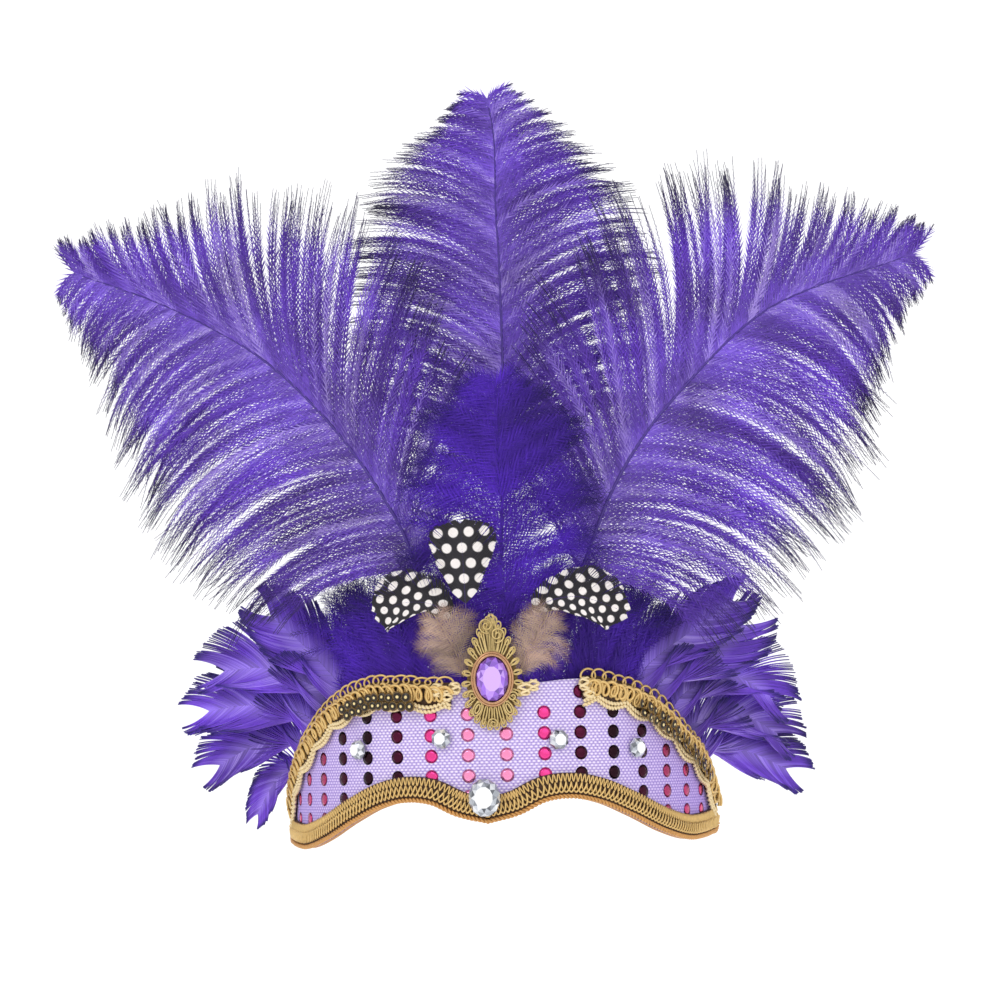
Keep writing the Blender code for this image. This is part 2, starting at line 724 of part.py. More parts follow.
def ring_wire(frame, across, up, out, radius, wire, name, helpers):
    """A torus that lies on the plate's face."""
    origin, right, rise, outward = frame
    bm = bmesh.new()
    loops = []
    for number in range(SCROLL_STEPS):
        turn = 2 * math.pi * number / SCROLL_STEPS
        loop = []
        for side in range(SCROLL_SIDES):
            swing = 2 * math.pi * side / SCROLL_SIDES
            reach = radius + wire * math.cos(swing)
            x, z = across + reach * math.cos(turn), up + reach * math.sin(turn)
            loop.append(bm.verts.new(in_plate(frame, x, z, out + wire * math.sin(swing))))
        loops.append(loop)
    for number, near in enumerate(loops):
        far = loops[(number + 1) % len(loops)]
        for side in range(SCROLL_SIDES):
            after = (side + 1) % SCROLL_SIDES
            bm.faces.new((near[side], near[after], far[after], far[side]))
    return new_object(name, bm, GILT_METAL, helpers)


def boolean(target, tool, operation, name):
    modifier = target.modifiers.new(name, "BOOLEAN")
    modifier.operation = operation
    modifier.solver = "EXACT"
    modifier.object = tool
    as_helper(tool)


def join_helpers(pieces, name, helpers):
    """One object from pieces that do not touch each other."""
    bm = bmesh.new()
    for piece in pieces:
        bm.from_mesh(piece.data)
        bpy.data.objects.remove(piece)
    return new_object(name, bm, GILT_METAL, helpers)


def make_medallion(parts, helpers):
    frame = plate_frame(MEDALLION_TILT_ANGLE, MEDALLION_CENTRE_HEIGHT, BAND_WALL + CLEARANCE)
    plate = MEDALLION_PLATE
    rings = [
        medallion_ring(frame, 1.0, 0.0, MEDALLION_LOOP_RISE),
        medallion_ring(frame, 1.0, plate, MEDALLION_LOOP_RISE),
        medallion_ring(frame, DOME_REACH, plate * DOME_RISE, 0.0),
        bezel_ring(frame, 1.0, plate * BEZEL_FOOT_RISE),
        bezel_ring(frame, BEZEL_TOP_SHARE, BEZEL_HEIGHT),
        bezel_ring(frame, 0.0, BEZEL_HEIGHT),
        bezel_ring(frame, 0.0, plate),
    ]
    medallion = new_object("medallion", loft(rings), GILT_METAL, parts)
    slots = join_helpers(medallion_slots(frame, helpers), "medallion_slots", helpers)
    boolean(medallion, slots, "DIFFERENCE", "Open loops")
    for number, place in enumerate(SCROLLS):
        across = place.across * SCROLL_RADIUS
        up = MEDALLION_HEIGHT / 2 - place.drop * SCROLL_RADIUS
        scroll = ring_wire(
            frame, across, up, plate, SCROLL_RADIUS, SCROLL_WIRE, f"scroll_{number}", helpers)
        boolean(medallion, scroll, "UNION", f"Scroll {number}")
    return medallion


def make_stone(name, frame, size, finish, parts):
    """A faceted stone: flat back, girdle, crown facets and a table."""
    width, height, depth = size
    bm = bmesh.new()
    for level in STONE_LEVELS:
        for number in range(STONE_SIDES):
            turn = 2 * math.pi * (number + level.shift) / STONE_SIDES
            across = level.scale * width / 2 * math.sin(turn)
            up = level.scale * height / 2 * math.cos(turn)
            bm.verts.new(in_plate(frame, across, up, level.out * depth))
    bmesh.ops.convex_hull(bm, input=bm.verts)
    return new_object(name, bm, finish, parts)


def make_stones(parts):
    seat = BAND_WALL + 2 * CLEARANCE + MEDALLION_PLATE
    frame = plate_frame(MEDALLION_TILT_ANGLE, OVAL_STONE_HEIGHT, seat)
    make_stone("oval_stone", frame, OVAL_STONE, AMETHYST_GLASS, parts)
    seat = BAND_WALL + 2 * CLEARANCE + LOWER_BRAID_THICKNESS
    frame = plate_frame(PEAK_STONE_ANGLE, PEAK_STONE_HEIGHT, seat)
    make_stone("peak_stone", frame, PEAK_STONE, CLEAR_GLASS, parts)
    for number, stone in enumerate(ROUND_STONES, start=1):
        frame = plate_frame(
            stone.angle * BAND_END_ANGLE, stone.height * BAND_RISE, BAND_WALL + CLEARANCE)
        make_stone(f"round_stone_{number}", frame, ROUND_STONE, CLEAR_GLASS, parts)


class Shaft:
    """A feather's shaft: a smooth path with a face direction, both read at a share of its length."""

    def __init__(self, knots, face_at):
        dense = []
        padded = [2 * knots[0] - knots[1], *knots, 2 * knots[-1] - knots[-2]]
        for p0, p1, p2, p3 in zip(padded, padded[1:], padded[2:], padded[3:]):
            for step in range(SHAFT_STEPS):
                t = step / SHAFT_STEPS
                dense.append(0.5 * (
                    2 * p1 + (p2 - p0) * t + (2 * p0 - 5 * p1 + 4 * p2 - p3) * t ** 2
                    + (3 * p1 - p0 - 3 * p2 + p3) * t ** 3))
        dense.append(knots[-1])
        self.points = np.array(dense)
        steps = np.linalg.norm(np.diff(self.points, axis=0), axis=1)
        self.length = float(steps.sum())
        self.shares = np.concatenate(([0.0], np.cumsum(steps))) / self.length
        self.face_at = face_at

    def point(self, share):
        return Vector([float(np.interp(share, self.shares, self.points[:, k])) for k in range(3)])

    def frame(self, share):
        """Point, tangent, sideways (to the viewer's right of an upright feather) and face."""
        ahead = self.point(min(1.0, share + SHAFT_FRAME_STEP))
        along = ahead - self.point(max(0.0, share - SHAFT_FRAME_STEP))
        along.normalize()
        face = self.face_at(share)
        face = (face - along * face.dot(along)).normalized()
        return self.point(share), along, along.cross(face), face


def barb_point(shaft, vane_from, place, side, vane, barb, along, lift):
    """A point on a vane: place runs up the vane and along runs out on the barb."""
    point, forward, sideways, face = shaft.frame(vane_from + (1 - vane_from) * place)
    rows = np.linspace(0.0, 1.0, len(vane.lengths))
    length = barb * smooth_value(rows, vane.lengths, place)
    start = math.radians(vane.start_angle + vane.foot_turn * (1 - place) ** 2)
    bend = math.radians(vane.end_angle - vane.start_angle)
    turn = start + bend * along
    ahead = length * (math.sin(turn) - math.sin(start)) / bend
    out = length * (math.cos(start) - math.cos(turn)) / bend
    return (point + forward * ahead + sideways * (side * out)
            + face * (length * along * (vane.curl * along + lift)))


def vane_sheet(shaft, vane_from, vanes, barb, locks, levels, stagger):
    """Both vanes as one open sheet: fused along the shaft, and split into locks further out."""
    bm = bmesh.new()
    middle = [bm.verts.new(shaft.point(vane_from + (1 - vane_from) * n / locks))
              for n in range(locks + 1)]
    for side, vane in zip((-1, 1), vanes):
        fused = [bm.verts.new(barb_point(shaft, vane_from, n / locks, side, vane, barb,
                                         levels[0].along, 0.0)) for n in range(locks + 1)]
        for n in range(locks):
            bm.faces.new((middle[n], middle[n + 1], fused[n + 1], fused[n]))
            near = (fused[n], fused[n + 1])
            lift = stagger if n % 2 else -stagger
            for level in levels[1:]:
                places = [(n + 0.5 - level.width / 2) / locks, (n + 0.5 + level.width / 2) / locks]
                if level.width == 0.0:
                    places = places[:1]
                reach = level.along * (SHORT_LOCK if n % 2 else 1.0)
                far = [bm.verts.new(barb_point(shaft, vane_from, place, side, vane, barb,
                                               reach, lift)) for place in places]
                bm.faces.new((*near, *reversed(far)))
                near = tuple(far)
    return bm


def make_quill(name, shaft, vane_from, locks, radius, helpers):
    """The shaft as a tapered tube with closed ends, made a mesh so that it can be joined."""
    shares = [vane_from * n / QUILL_BARE_STEPS for n in range(QUILL_BARE_STEPS)]
    shares += [vane_from + (QUILL_END_SHARE - vane_from) * n / locks for n in range(locks + 1)]
    curve = bpy.data.curves.new(name, "CURVE")
    curve.dimensions = "3D"
    curve.bevel_depth = radius
    curve.bevel_resolution = (
        PLUME_QUILL_ROUNDING if radius >= PLUME_QUILL else SMALL_QUILL_ROUNDING)
    curve.use_fill_caps = True
    spline = curve.splines.new("POLY")
    spline.points.add(len(shares) - 1)
    for control, share in zip(spline.points, shares):
        control.co = (*shaft.point(share), 1.0)
        control.radius = 1.0 - (1.0 - QUILL_TIP_SHARE) * share
    guide = bpy.data.objects.new(name + "_curve", curve)
    helpers.objects.link(guide)
    evaluated = guide.evaluated_get(bpy.context.evaluated_depsgraph_get())
    bm = bmesh.new()
    bm.from_mesh(bpy.data.meshes.new_from_object(evaluated))
    bmesh.ops.remove_doubles(bm, verts=bm.verts, dist=0.00001)
    bpy.data.objects.remove(guide)
    return new_object(name, bm, DEEP_VIOLET, helpers)


def make_feather(name, shaft, vane_from, vanes, barb, locks, levels, sheet, quill, finish,
                 parts, helpers):
    stagger = PLUME_STAGGER if levels is PLUME_LOCK else BLUNT_STAGGER
    bm = vane_sheet(shaft, vane_from, vanes, barb, locks, levels, stagger)
    feather = new_object(name, bm, finish, parts)
    wall = feather.modifiers.new("Thickness", "SOLIDIFY")
    wall.thickness = sheet
    wall.offset = 0.0
    tube = make_quill(name + "_quill", shaft, vane_from, locks, quill, helpers)
    boolean(feather, tube, "UNION", "Quill")
    return feather


def free_shaft(angle, tuck, quill, side, reach, route):
    """A shaft that starts on the band's inner face and then follows its own route."""
    root = on_band(angle, upper_edge(angle) - tuck, -(CLEARANCE + quill))
    knots = [root]
    for row in route:
        knots.append(root + reach * Vector((side * row.out, row.back, row.up)))
    return Shaft(knots, lambda share: Vector((0, -1, 0)))


def make_plumes(parts, helpers):
    side_vanes = (OUTER_VANE, INNER_VANE)
    rows = (
        ("plume_left", PLUME_LEFT_ROOT, -1, SIDE_PLUME_REACH, PLUME_LEFT_ROUTE,
         side_vanes, PLUME_BARB, PLUME_LOCKS),
        ("plume_right", PLUME_RIGHT_ROOT, 1, SIDE_PLUME_REACH, PLUME_RIGHT_ROUTE,
         side_vanes[::-1], PLUME_BARB, PLUME_LOCKS),
        ("plume_centre", PLUME_CENTRE_ROOT, 1, CENTRE_PLUME_REACH, PLUME_CENTRE_ROUTE,
         (CENTRE_VANE, CENTRE_VANE), CENTRE_PLUME_BARB, CENTRE_PLUME_LOCKS),
    )
    for name, root, side, reach, route, vanes, barb, locks in rows:
        shaft = free_shaft(root.angle, QUILL_TUCK, PLUME_QUILL, side, reach, route)
        make_feather(name, shaft, root.vane_from, vanes, barb, locks, PLUME_LOCK, PLUME_SHEET,
                     PLUME_QUILL, VIOLET_PLUME, parts, helpers)


def make_marabou(parts, helpers):
    root = MARABOU_ROOT
    shaft = free_shaft(root.angle, QUILL_TUCK, MARABOU_QUILL, 1, MARABOU_REACH, MARABOU_ROUTE)
    make_feather("marabou_centre", shaft, root.vane_from, (MARABOU_VANE, MARABOU_VANE),
                 MARABOU_BARB, MARABOU_LOCKS, PLUME_LOCK, PLUME_SHEET, MARABOU_QUILL,
                 DEEP_VIOLET, parts, helpers)
    fringes = (
        ("marabou_left", MARABOU_FRINGE_LEFT, (NO_VANE, FRINGE_VANE)),
        ("marabou_right", MARABOU_FRINGE_RIGHT, (FRINGE_VANE, NO_VANE)),
    )
    for name, (first, last), vanes in fringes:
        make_fringe(name, first, last, vanes, parts, helpers)


def make_fringe(name, first, last, vanes, parts, helpers):
    """Marabou whose shaft lies along the band's inner face, with its barbs on the upper side."""
    def angle(share):
        return first + (last - first) * share

    def knot(share):
        height = upper_edge(angle(share)) - MARABOU_FRINGE_TUCK
        return on_band(angle(share), height, -(MARABOU_FRINGE_CLEARANCE + MARABOU_QUILL))

    knots = [knot(n / MARABOU_FRINGE_KNOTS) for n in range(MARABOU_FRINGE_KNOTS + 1)]
    shaft = Shaft(knots, lambda share: band_normal(angle(share)))
    make_feather(name, shaft, MARABOU_FRINGE_FROM, vanes, MARABOU_FRINGE_BARB,
                 MARABOU_FRINGE_LOCKS, PLUME_LOCK, PLUME_SHEET, MARABOU_QUILL, DEEP_VIOLET,
                 parts, helpers)


def make_guinea(parts, helpers):
    rows = (
        ("guinea_centre", GUINEA_CENTRE_ROOT, 1, GUINEA_CENTRE_REACH, GUINEA_CENTRE_ROUTE,
         GUINEA_CENTRE_BARB),
        ("guinea_left", GUINEA_LEFT_ROOT, -1, GUINEA_LEFT_REACH, GUINEA_LEFT_ROUTE,
         GUINEA_SIDE_BARB),
        ("guinea_right", GUINEA_RIGHT_ROOT, 1, GUINEA_RIGHT_REACH, GUINEA_RIGHT_ROUTE,
         GUINEA_SIDE_BARB),
    )
    for name, root, side, reach, route, barb in rows:
        shaft = free_shaft(root.angle, QUILL_TUCK, GUINEA_QUILL, side, reach, route)
        make_feather(name, shaft, root.vane_from, (GUINEA_VANE, GUINEA_VANE), barb,
                     GUINEA_LOCKS, BLUNT_LOCK, SMALL_SHEET, GUINEA_QUILL, GUINEA_BLACK,
                     parts, helpers)


def make_tan_fluff(parts, helpers):
    rows = (
        ("tan_fluff_left", TAN_LEFT_ROOT, -1, TAN_LEFT_ROUTE),
        ("tan_fluff_right", TAN_RIGHT_ROOT, 1, TAN_RIGHT_ROUTE),
    )
    for name, root, side, route in rows:
        shaft = free_shaft(root.angle, QUILL_TUCK, TAN_FLUFF_QUILL, side, TAN_FLUFF_REACH, route)
        make_feather(name, shaft, root.vane_from, (TAN_VANE, TAN_VANE), TAN_FLUFF_BARB,
                     TAN_FLUFF_LOCKS, PLUME_LOCK, SMALL_SHEET, TAN_FLUFF_QUILL, TAN_DOWN,
                     parts, helpers)


def make_side_feathers(parts, helpers):
    counts = {-1: 0, 1: 0}
    for row in SIDE_FEATHERS:
        counts[row.side] += 1
        name = f"side_feather_{'left' if row.side < 0 else 'right'}_{counts[row.side]}"
        angle = row.side * row.angle
        shaft = free_shaft(
            angle, SIDE_FEATHER_TUCK, SIDE_FEATHER_QUILL, row.side, row.reach, row.route)
        make_feather(name, shaft, SIDE_FEATHER_BARE / shaft.length, (SMOOTH_VANE, SMOOTH_VANE),
                     row.barb, SIDE_FEATHER_LOCKS, BLUNT_LOCK, SMALL_SHEET, SIDE_FEATHER_QUILL,
                     VIOLET_PLUME, parts, helpers)


def main():
    clear_scene()
    parts = new_collection("feather_headdress")
    helpers = new_collection("cutters")
    make_band(parts)
    make_lower_braid(parts)
    make_upper_braid("upper_braid_left", UPPER_BRAID_LEFT, parts)
    make_upper_braid("upper_braid_right", UPPER_BRAID_RIGHT, parts)
    make_sequin_row("sequin_row_left", SEQUIN_ROW_LEFT, parts)
    make_sequin_row("sequin_row_right", SEQUIN_ROW_RIGHT, parts)
    make_medallion(parts, helpers)
    make_stones(parts)
    make_plumes(parts, helpers)
    make_marabou(parts, helpers)
    make_guinea(parts, helpers)
    make_tan_fluff(parts, helpers)
    make_side_feathers(parts, helpers)


main()
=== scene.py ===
"""Looks of the carnival feather headdress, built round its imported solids.

Metres, +Z up. The front faces -Y. Sizes and feather routes are those of the part's source.
"""
import math
from collections import namedtuple

import bmesh
import bpy
import numpy as np
from mathutils import Matrix, Vector


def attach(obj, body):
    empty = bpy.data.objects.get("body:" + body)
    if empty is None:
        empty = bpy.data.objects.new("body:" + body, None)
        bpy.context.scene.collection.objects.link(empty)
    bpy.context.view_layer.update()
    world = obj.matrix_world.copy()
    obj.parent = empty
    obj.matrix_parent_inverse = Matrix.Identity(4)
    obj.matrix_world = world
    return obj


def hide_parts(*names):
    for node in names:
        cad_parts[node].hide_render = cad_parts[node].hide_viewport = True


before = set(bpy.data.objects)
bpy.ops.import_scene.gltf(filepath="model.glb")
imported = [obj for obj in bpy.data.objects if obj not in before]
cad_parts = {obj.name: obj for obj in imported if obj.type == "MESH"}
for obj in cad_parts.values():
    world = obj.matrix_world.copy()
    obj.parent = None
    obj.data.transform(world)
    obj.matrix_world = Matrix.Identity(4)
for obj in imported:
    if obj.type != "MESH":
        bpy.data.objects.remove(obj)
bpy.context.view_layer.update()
scene = bpy.context.scene

# Sizes shared with the part's source

CLEARANCE = 0.0003
BAND_HALF_WIDTH = 0.0875
BAND_DEPTH = 0.105
BAND_END_ANGLE = 82.0
BAND_WALL = 0.002
BAND_RISE = 0.0295
BAND_DROP = 0.0365
BandRow = namedtuple("BandRow", "angle lower upper")
BAND_OUTLINE = (
    BandRow(0.00, -0.74, 0.95),
    BandRow(0.10, -0.65, 0.95),
    BandRow(0.18, -0.52, 0.97),
    BandRow(0.26, -0.49, 1.00),
    BandRow(0.35, -0.55, 1.00),
    BandRow(0.46, -0.70, 0.90),
    BandRow(0.60, -0.90, 0.64),
    BandRow(0.74, -1.00, 0.22),
    BandRow(0.82, -0.99, 0.00),
    BandRow(0.90, -0.96, -0.30),
    BandRow(0.97, -0.92, -0.64),
    BandRow(1.00, -0.84, -0.76),
)
LOWER_BRAID_WIDTH = 0.010
UPPER_BRAID_LEFT = (-80.5, -8.5)
UPPER_BRAID_RIGHT = (25.0, 80.5)
SCALLOP_PITCH = 0.0155
SEQUIN_ROW_LEFT = (-40.0, -18.0)
SEQUIN_ROW_RIGHT = (42.0, 72.0)
MEDALLION_WIDTH = 0.0235
MEDALLION_HEIGHT = 0.0455
MEDALLION_PLATE = 0.0014
MEDALLION_TILT_ANGLE = 2.0
MEDALLION_CENTRE_HEIGHT = 0.0330
MEDALLION_TAPER = 0.6
OVAL_STONE = (0.013, 0.018, 0.0045)
OVAL_STONE_HEIGHT = 0.0301
PEAK_STONE = (0.013, 0.0155, 0.0050)
PEAK_STONE_HEIGHT = -0.0169
PEAK_STONE_ANGLE = -0.6
LOWER_BRAID_THICKNESS = 0.0022
ROUND_STONE = (0.0085, 0.0085, 0.0034)
StonePlace = namedtuple("StonePlace", "angle height")
ROUND_STONES = (
    StonePlace(-0.438, 0.115),
    StonePlace(-0.139, 0.234),
    StonePlace(0.224, 0.183),
    StonePlace(0.495, 0.047),
)

SIDE_PLUME_REACH = 0.2423
CENTRE_PLUME_REACH = 0.2535
MARABOU_REACH = 0.136
GUINEA_CENTRE_REACH = 0.079
GUINEA_LEFT_REACH = 0.0535
GUINEA_RIGHT_REACH = 0.059
TAN_FLUFF_REACH = 0.042
QUILL_TUCK = 0.0145
SIDE_FEATHER_TUCK = 0.0080
SIDE_FEATHER_BARE = 0.006
PLUME_QUILL = 0.0016
MARABOU_QUILL = 0.0009
GUINEA_QUILL = 0.0007
TAN_FLUFF_QUILL = 0.0006
SIDE_FEATHER_QUILL = 0.0008
MARABOU_FRINGE_TUCK = 0.0040
MARABOU_FRINGE_CLEARANCE = 0.0006
MARABOU_FRINGE_LEFT = (-18.0, -34.0)
MARABOU_FRINGE_RIGHT = (22.0, 37.0)

# A vane: shares of the barb's length up the vane, angles of a barb to the shaft at its start
# and tip, how much wider both are at the vane's foot, and how far a barb's tip comes forward
Vane = namedtuple("Vane", "lengths start_angle end_angle foot_turn curl")
OUTER_VANE = Vane((0.84, 1.06, 1.10, 1.08, 0.94, 0.72, 0.44, 0.16), 42, 98, 26, -0.12)
INNER_VANE = Vane((0.62, 0.92, 1.12, 1.10, 0.90, 0.60, 0.40, 0.18), 27, 52, 14, 0.10)
CENTRE_VANE = Vane((0.74, 0.96, 1.04, 1.00, 0.82, 0.48, 0.16), 42, 92, 0, -0.08)
MARABOU_VANE = Vane((0.86, 0.98, 1.00, 0.95, 0.80, 0.52, 0.20), 46, 78, 14, 0.02)
GUINEA_VANE = Vane((0.40, 0.86, 1.08, 0.96, 0.58, 0.16), 50, 42, 0, -0.05)
TAN_VANE = Vane((0.60, 0.95, 1.00, 0.80, 0.45), 40, 62, 0, 0.02)
SMOOTH_VANE = Vane((1.02, 1.26, 1.32, 1.26, 1.04, 0.66), 36, 8, 20, -0.04)
FRINGE_VANE = Vane((0.90, 1.00, 0.98, 0.94, 0.86), 82, 54, 0, 0.08)
TUFT_VANE = Vane((0.90, 1.00, 0.98, 0.94, 0.86), 82, 54, 0, -0.14)

# Routes of the shafts from their roots: out, up and back, as shares of the reach
PLUME_LEFT_ROUTE = (
    (0.023, 0.128, 0.006), (0.054, 0.275, 0.018), (0.094, 0.364, 0.034),
    (0.180, 0.492, 0.059), (0.305, 0.620, 0.092), (0.460, 0.714, 0.109),
    (0.626, 0.780, 0.084),
)
PLUME_RIGHT_ROUTE = (
    (0.034, 0.128, 0.015), (0.089, 0.266, 0.024), (0.129, 0.366, 0.038),
    (0.181, 0.456, 0.054), (0.243, 0.533, 0.071), (0.361, 0.650, 0.096),
    (0.461, 0.706, 0.104), (0.647, 0.760, 0.079),
)
PLUME_CENTRE_ROUTE = (
    (0.002, 0.102, 0.012), (0.008, 0.298, 0.062), (0.014, 0.535, 0.100),
    (0.012, 0.737, 0.114), (0.009, 0.826, 0.110), (0.011, 0.935, 0.086),
    (0.004, 1.000, 0.052),
)
MARABOU_ROUTE = (
    (0.000, 0.228, 0.014), (-0.002, 0.338, 0.004), (-0.004, 0.463, -0.035),
    (-0.007, 0.632, -0.064), (-0.007, 0.853, -0.079), (-0.007, 1.000, -0.086),
)
GUINEA_CENTRE_ROUTE = (
    (-0.013, 0.329, 0.001), (-0.025, 0.481, -0.020), (-0.029, 0.600, -0.080),
    (-0.030, 0.781, -0.141), (-0.038, 0.992, -0.166),
)
GUINEA_LEFT_ROUTE = (
    (0.006, 0.374, 0.002), (0.009, 0.600, -0.026), (0.037, 0.748, -0.070),
    (0.140, 0.869, -0.130), (0.346, 0.897, -0.194), (0.570, 0.822, -0.205),
)
GUINEA_RIGHT_ROUTE = (
    (0.003, 0.339, -0.005), (0.009, 0.542, -0.032), (0.051, 0.678, -0.075),
    (0.178, 0.788, -0.130), (0.415, 0.814, -0.190), (0.712, 0.703, -0.205),
)
TAN_LEFT_ROUTE = (
    (0.007, 0.330, 0.004), (0.052, 0.571, -0.050), (0.150, 0.800, -0.094),
    (0.245, 0.976, -0.165),
)
TAN_RIGHT_ROUTE = (
    (0.012, 0.330, 0.006), (0.090, 0.571, -0.046), (0.210, 0.780, -0.110),
    (0.310, 0.976, -0.180),
)
SideFeather = namedtuple("SideFeather", "side angle reach barb route")
SIDE_FEATHERS = (
    SideFeather(-1, 45, 0.0575, 0.023, (
        (0.020, 0.260, 0.010), (0.123, 0.404, 0.054), (0.315, 0.600, 0.141),
        (0.523, 0.786, 0.210))),
    SideFeather(-1, 51, 0.0550, 0.024, (
        (0.018, 0.268, 0.015), (0.182, 0.416, 0.064), (0.493, 0.527, 0.119),
        (0.803, 0.519, 0.173))),
    SideFeather(-1, 59, 0.0530, 0.023, (
        (0.019, 0.273, 0.010), (0.207, 0.385, 0.056), (0.546, 0.434, 0.113),
        (0.866, 0.399, 0.188))),
    SideFeather(-1, 67, 0.0405, 0.020, (
        (0.025, 0.345, 0.010), (0.259, 0.411, 0.074), (0.603, 0.340, 0.148),
        (0.948, 0.162, 0.222))),
    SideFeather(-1, 74, 0.0270, 0.011, (
        (0.033, 0.520, 0.015), (0.300, 0.452, 0.074), (0.560, 0.174, 0.148),
        (0.760, -0.180, 0.220))),
    SideFeather(1, 44, 0.0626, 0.021, (
        (0.019, 0.240, 0.014), (0.147, 0.386, 0.070), (0.403, 0.565, 0.150),
        (0.621, 0.719, 0.230))),
    SideFeather(1, 50, 0.0580, 0.024, (
        (0.017, 0.253, 0.016), (0.172, 0.394, 0.076), (0.414, 0.532, 0.145),
        (0.638, 0.695, 0.214))),
    SideFeather(1, 57, 0.0474, 0.022, (
        (0.023, 0.306, 0.013), (0.224, 0.495, 0.086), (0.561, 0.572, 0.171),
        (0.857, 0.407, 0.255))),
    SideFeather(1, 65, 0.0413, 0.021, (
        (0.024, 0.339, 0.019), (0.259, 0.454, 0.104), (0.598, 0.460, 0.201),
        (0.901, 0.286, 0.298))),
    SideFeather(1, 72, 0.0387, 0.020, (
        (0.026, 0.349, 0.021), (0.279, 0.390, 0.111), (0.615, 0.309, 0.189),
        (0.946, 0.143, 0.292))),
)


# Nodes, materials and finished meshes

def rgb(code):
    """Linear RGBA of an sRGB hex value."""
    channels = [int(code[i:i + 2], 16) / 255 for i in (1, 3, 5)]
    return (*[c / 12.92 if c <= 0.04045 else ((c + 0.055) / 1.055) ** 2.4 for c in channels], 1.0)


def add(tree, kind, settings=None, inputs=None):
    """Adds a node with its settings. Its inputs are values, or the sockets that feed them."""
    node = tree.nodes.new(kind)
    for name, value in (settings or {}).items():
        if name == "stops":
            while len(node.color_ramp.elements) < len(value):
                node.color_ramp.elements.new(1.0)
            for element, (place, code) in zip(node.color_ramp.elements, value):
                element.position = place
                element.color = rgb(code)
        elif name == "steps":
            node.color_ramp.interpolation = value
        else:
            setattr(node, name, value)
    for key, value in (inputs or {}).items():
        if isinstance(value, bpy.types.NodeSocket):
            tree.links.new(value, node.inputs[key])
        else:
            node.inputs[key].default_value = value
    return node


def new_material(name):
    material = bpy.data.materials.new(name)
    material.use_nodes = True
    tree = material.node_tree
    return material, tree, tree.nodes["Principled BSDF"]


def new_tree(name, sockets):
    """A geometry node tree with named inputs, and its group input and output."""
    tree = bpy.data.node_groups.new(name, "GeometryNodeTree")
    tree.interface.new_socket("Geometry", in_out="INPUT", socket_type="NodeSocketGeometry")
    for label, kind in sockets:
        tree.interface.new_socket(label, in_out="INPUT", socket_type="NodeSocket" + kind)
    tree.interface.new_socket("Geometry", in_out="OUTPUT", socket_type="NodeSocketGeometry")
    return tree, add(tree, "NodeGroupInput"), add(tree, "NodeGroupOutput")


def grown(name, source, tree, sizes):
    """Runs a node tree on a source mesh and keeps the result as a plain mesh."""
    carrier = bpy.data.objects.new(name + "_source", source)
    scene.collection.objects.link(carrier)
    modifier = carrier.modifiers.new(name, "NODES")
    modifier.node_group = tree
    for item in tree.interface.items_tree:
        if item.in_out == "INPUT" and item.name in sizes:
            modifier[item.identifier] = sizes[item.name]
    graph = bpy.context.evaluated_depsgraph_get()
    mesh = bpy.data.meshes.new_from_object(carrier.evaluated_get(graph), depsgraph=graph)
    bpy.data.objects.remove(carrier)
    mesh.name = name
    piece = bpy.data.objects.new(name, mesh)
    scene.collection.objects.link(piece)
    return piece


def worn(piece, slot, *nodes):
    """A finished piece of the headdress, which stands for the CAD nodes it names."""
    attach(piece, "root")
    if nodes:
        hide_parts(*nodes)
    return piece


def from_mesh(name, bm, material, smooth=True):
    bmesh.ops.recalc_face_normals(bm, faces=bm.faces)
    mesh = bpy.data.meshes.new(name)
    bm.to_mesh(mesh)
    bm.free()
    mesh.materials.append(material)
    for face in mesh.polygons:
        face.use_smooth = smooth
    piece = bpy.data.objects.new(name, mesh)
    scene.collection.objects.link(piece)
    return piece


def polylines(name, lines, **attributes):
    """A mesh of open lines, each an array of points, with values for every point."""
    mesh = bpy.data.meshes.new(name)
    counts = [len(line) for line in lines]
    edges, start = [], 0
    for count in counts:
        edges += [(i, i + 1) for i in range(start, start + count - 1)]
        start += count
    mesh.from_pydata(np.concatenate(lines).tolist(), edges, [])
    for label, values in attributes.items():
        values = np.concatenate([np.asarray(v, dtype=np.float32) for v in values])
        kind, field = ("FLOAT_VECTOR", "vector") if values.ndim == 2 else ("FLOAT", "value")
        attribute = mesh.attributes.new(label, kind, "POINT")
        attribute.data.foreach_set(field, values.ravel())
    return mesh


# The band's surface

def smooth_values(places, values, place):
    """Cubic interpolation through a table, with the slope of each row's neighbours."""
    places, values = np.asarray(places, float), np.asarray(values, float)
    slopes = np.gradient(values, places)
    row = np.clip(np.searchsorted(places, place) - 1, 0, len(places) - 2)
    span = places[row + 1] - places[row]
    t = np.clip((place - places[row]) / span, 0.0, 1.0)
    return ((2 * t ** 3 - 3 * t ** 2 + 1) * values[row]
            + (t ** 3 - 2 * t ** 2 + t) * span * slopes[row]
            + (3 * t ** 2 - 2 * t ** 3) * values[row + 1]
            + (t ** 3 - t ** 2) * span * slopes[row + 1])


ANGLES = np.linspace(-88.0, 88.0, 705)


def wall_frame(angle):
    """Points of the band's inner face in plan, and its outward directions, at angles."""
    turn = np.radians(angle)
    plan = np.stack([BAND_HALF_WIDTH * np.sin(turn), BAND_DEPTH * (1 - np.cos(turn))], axis=-1)
    out = np.stack([np.sin(turn) / BAND_HALF_WIDTH, -np.cos(turn) / BAND_DEPTH], axis=-1)
    return plan, out / np.linalg.norm(out, axis=-1, keepdims=True)


def wall_arcs():
    plan, out = wall_frame(ANGLES)
    steps = np.linalg.norm(np.diff(plan + BAND_WALL * out, axis=0), axis=1)
    arcs = np.concatenate(([0.0], np.cumsum(steps)))
    return arcs - arcs[-1] / 2


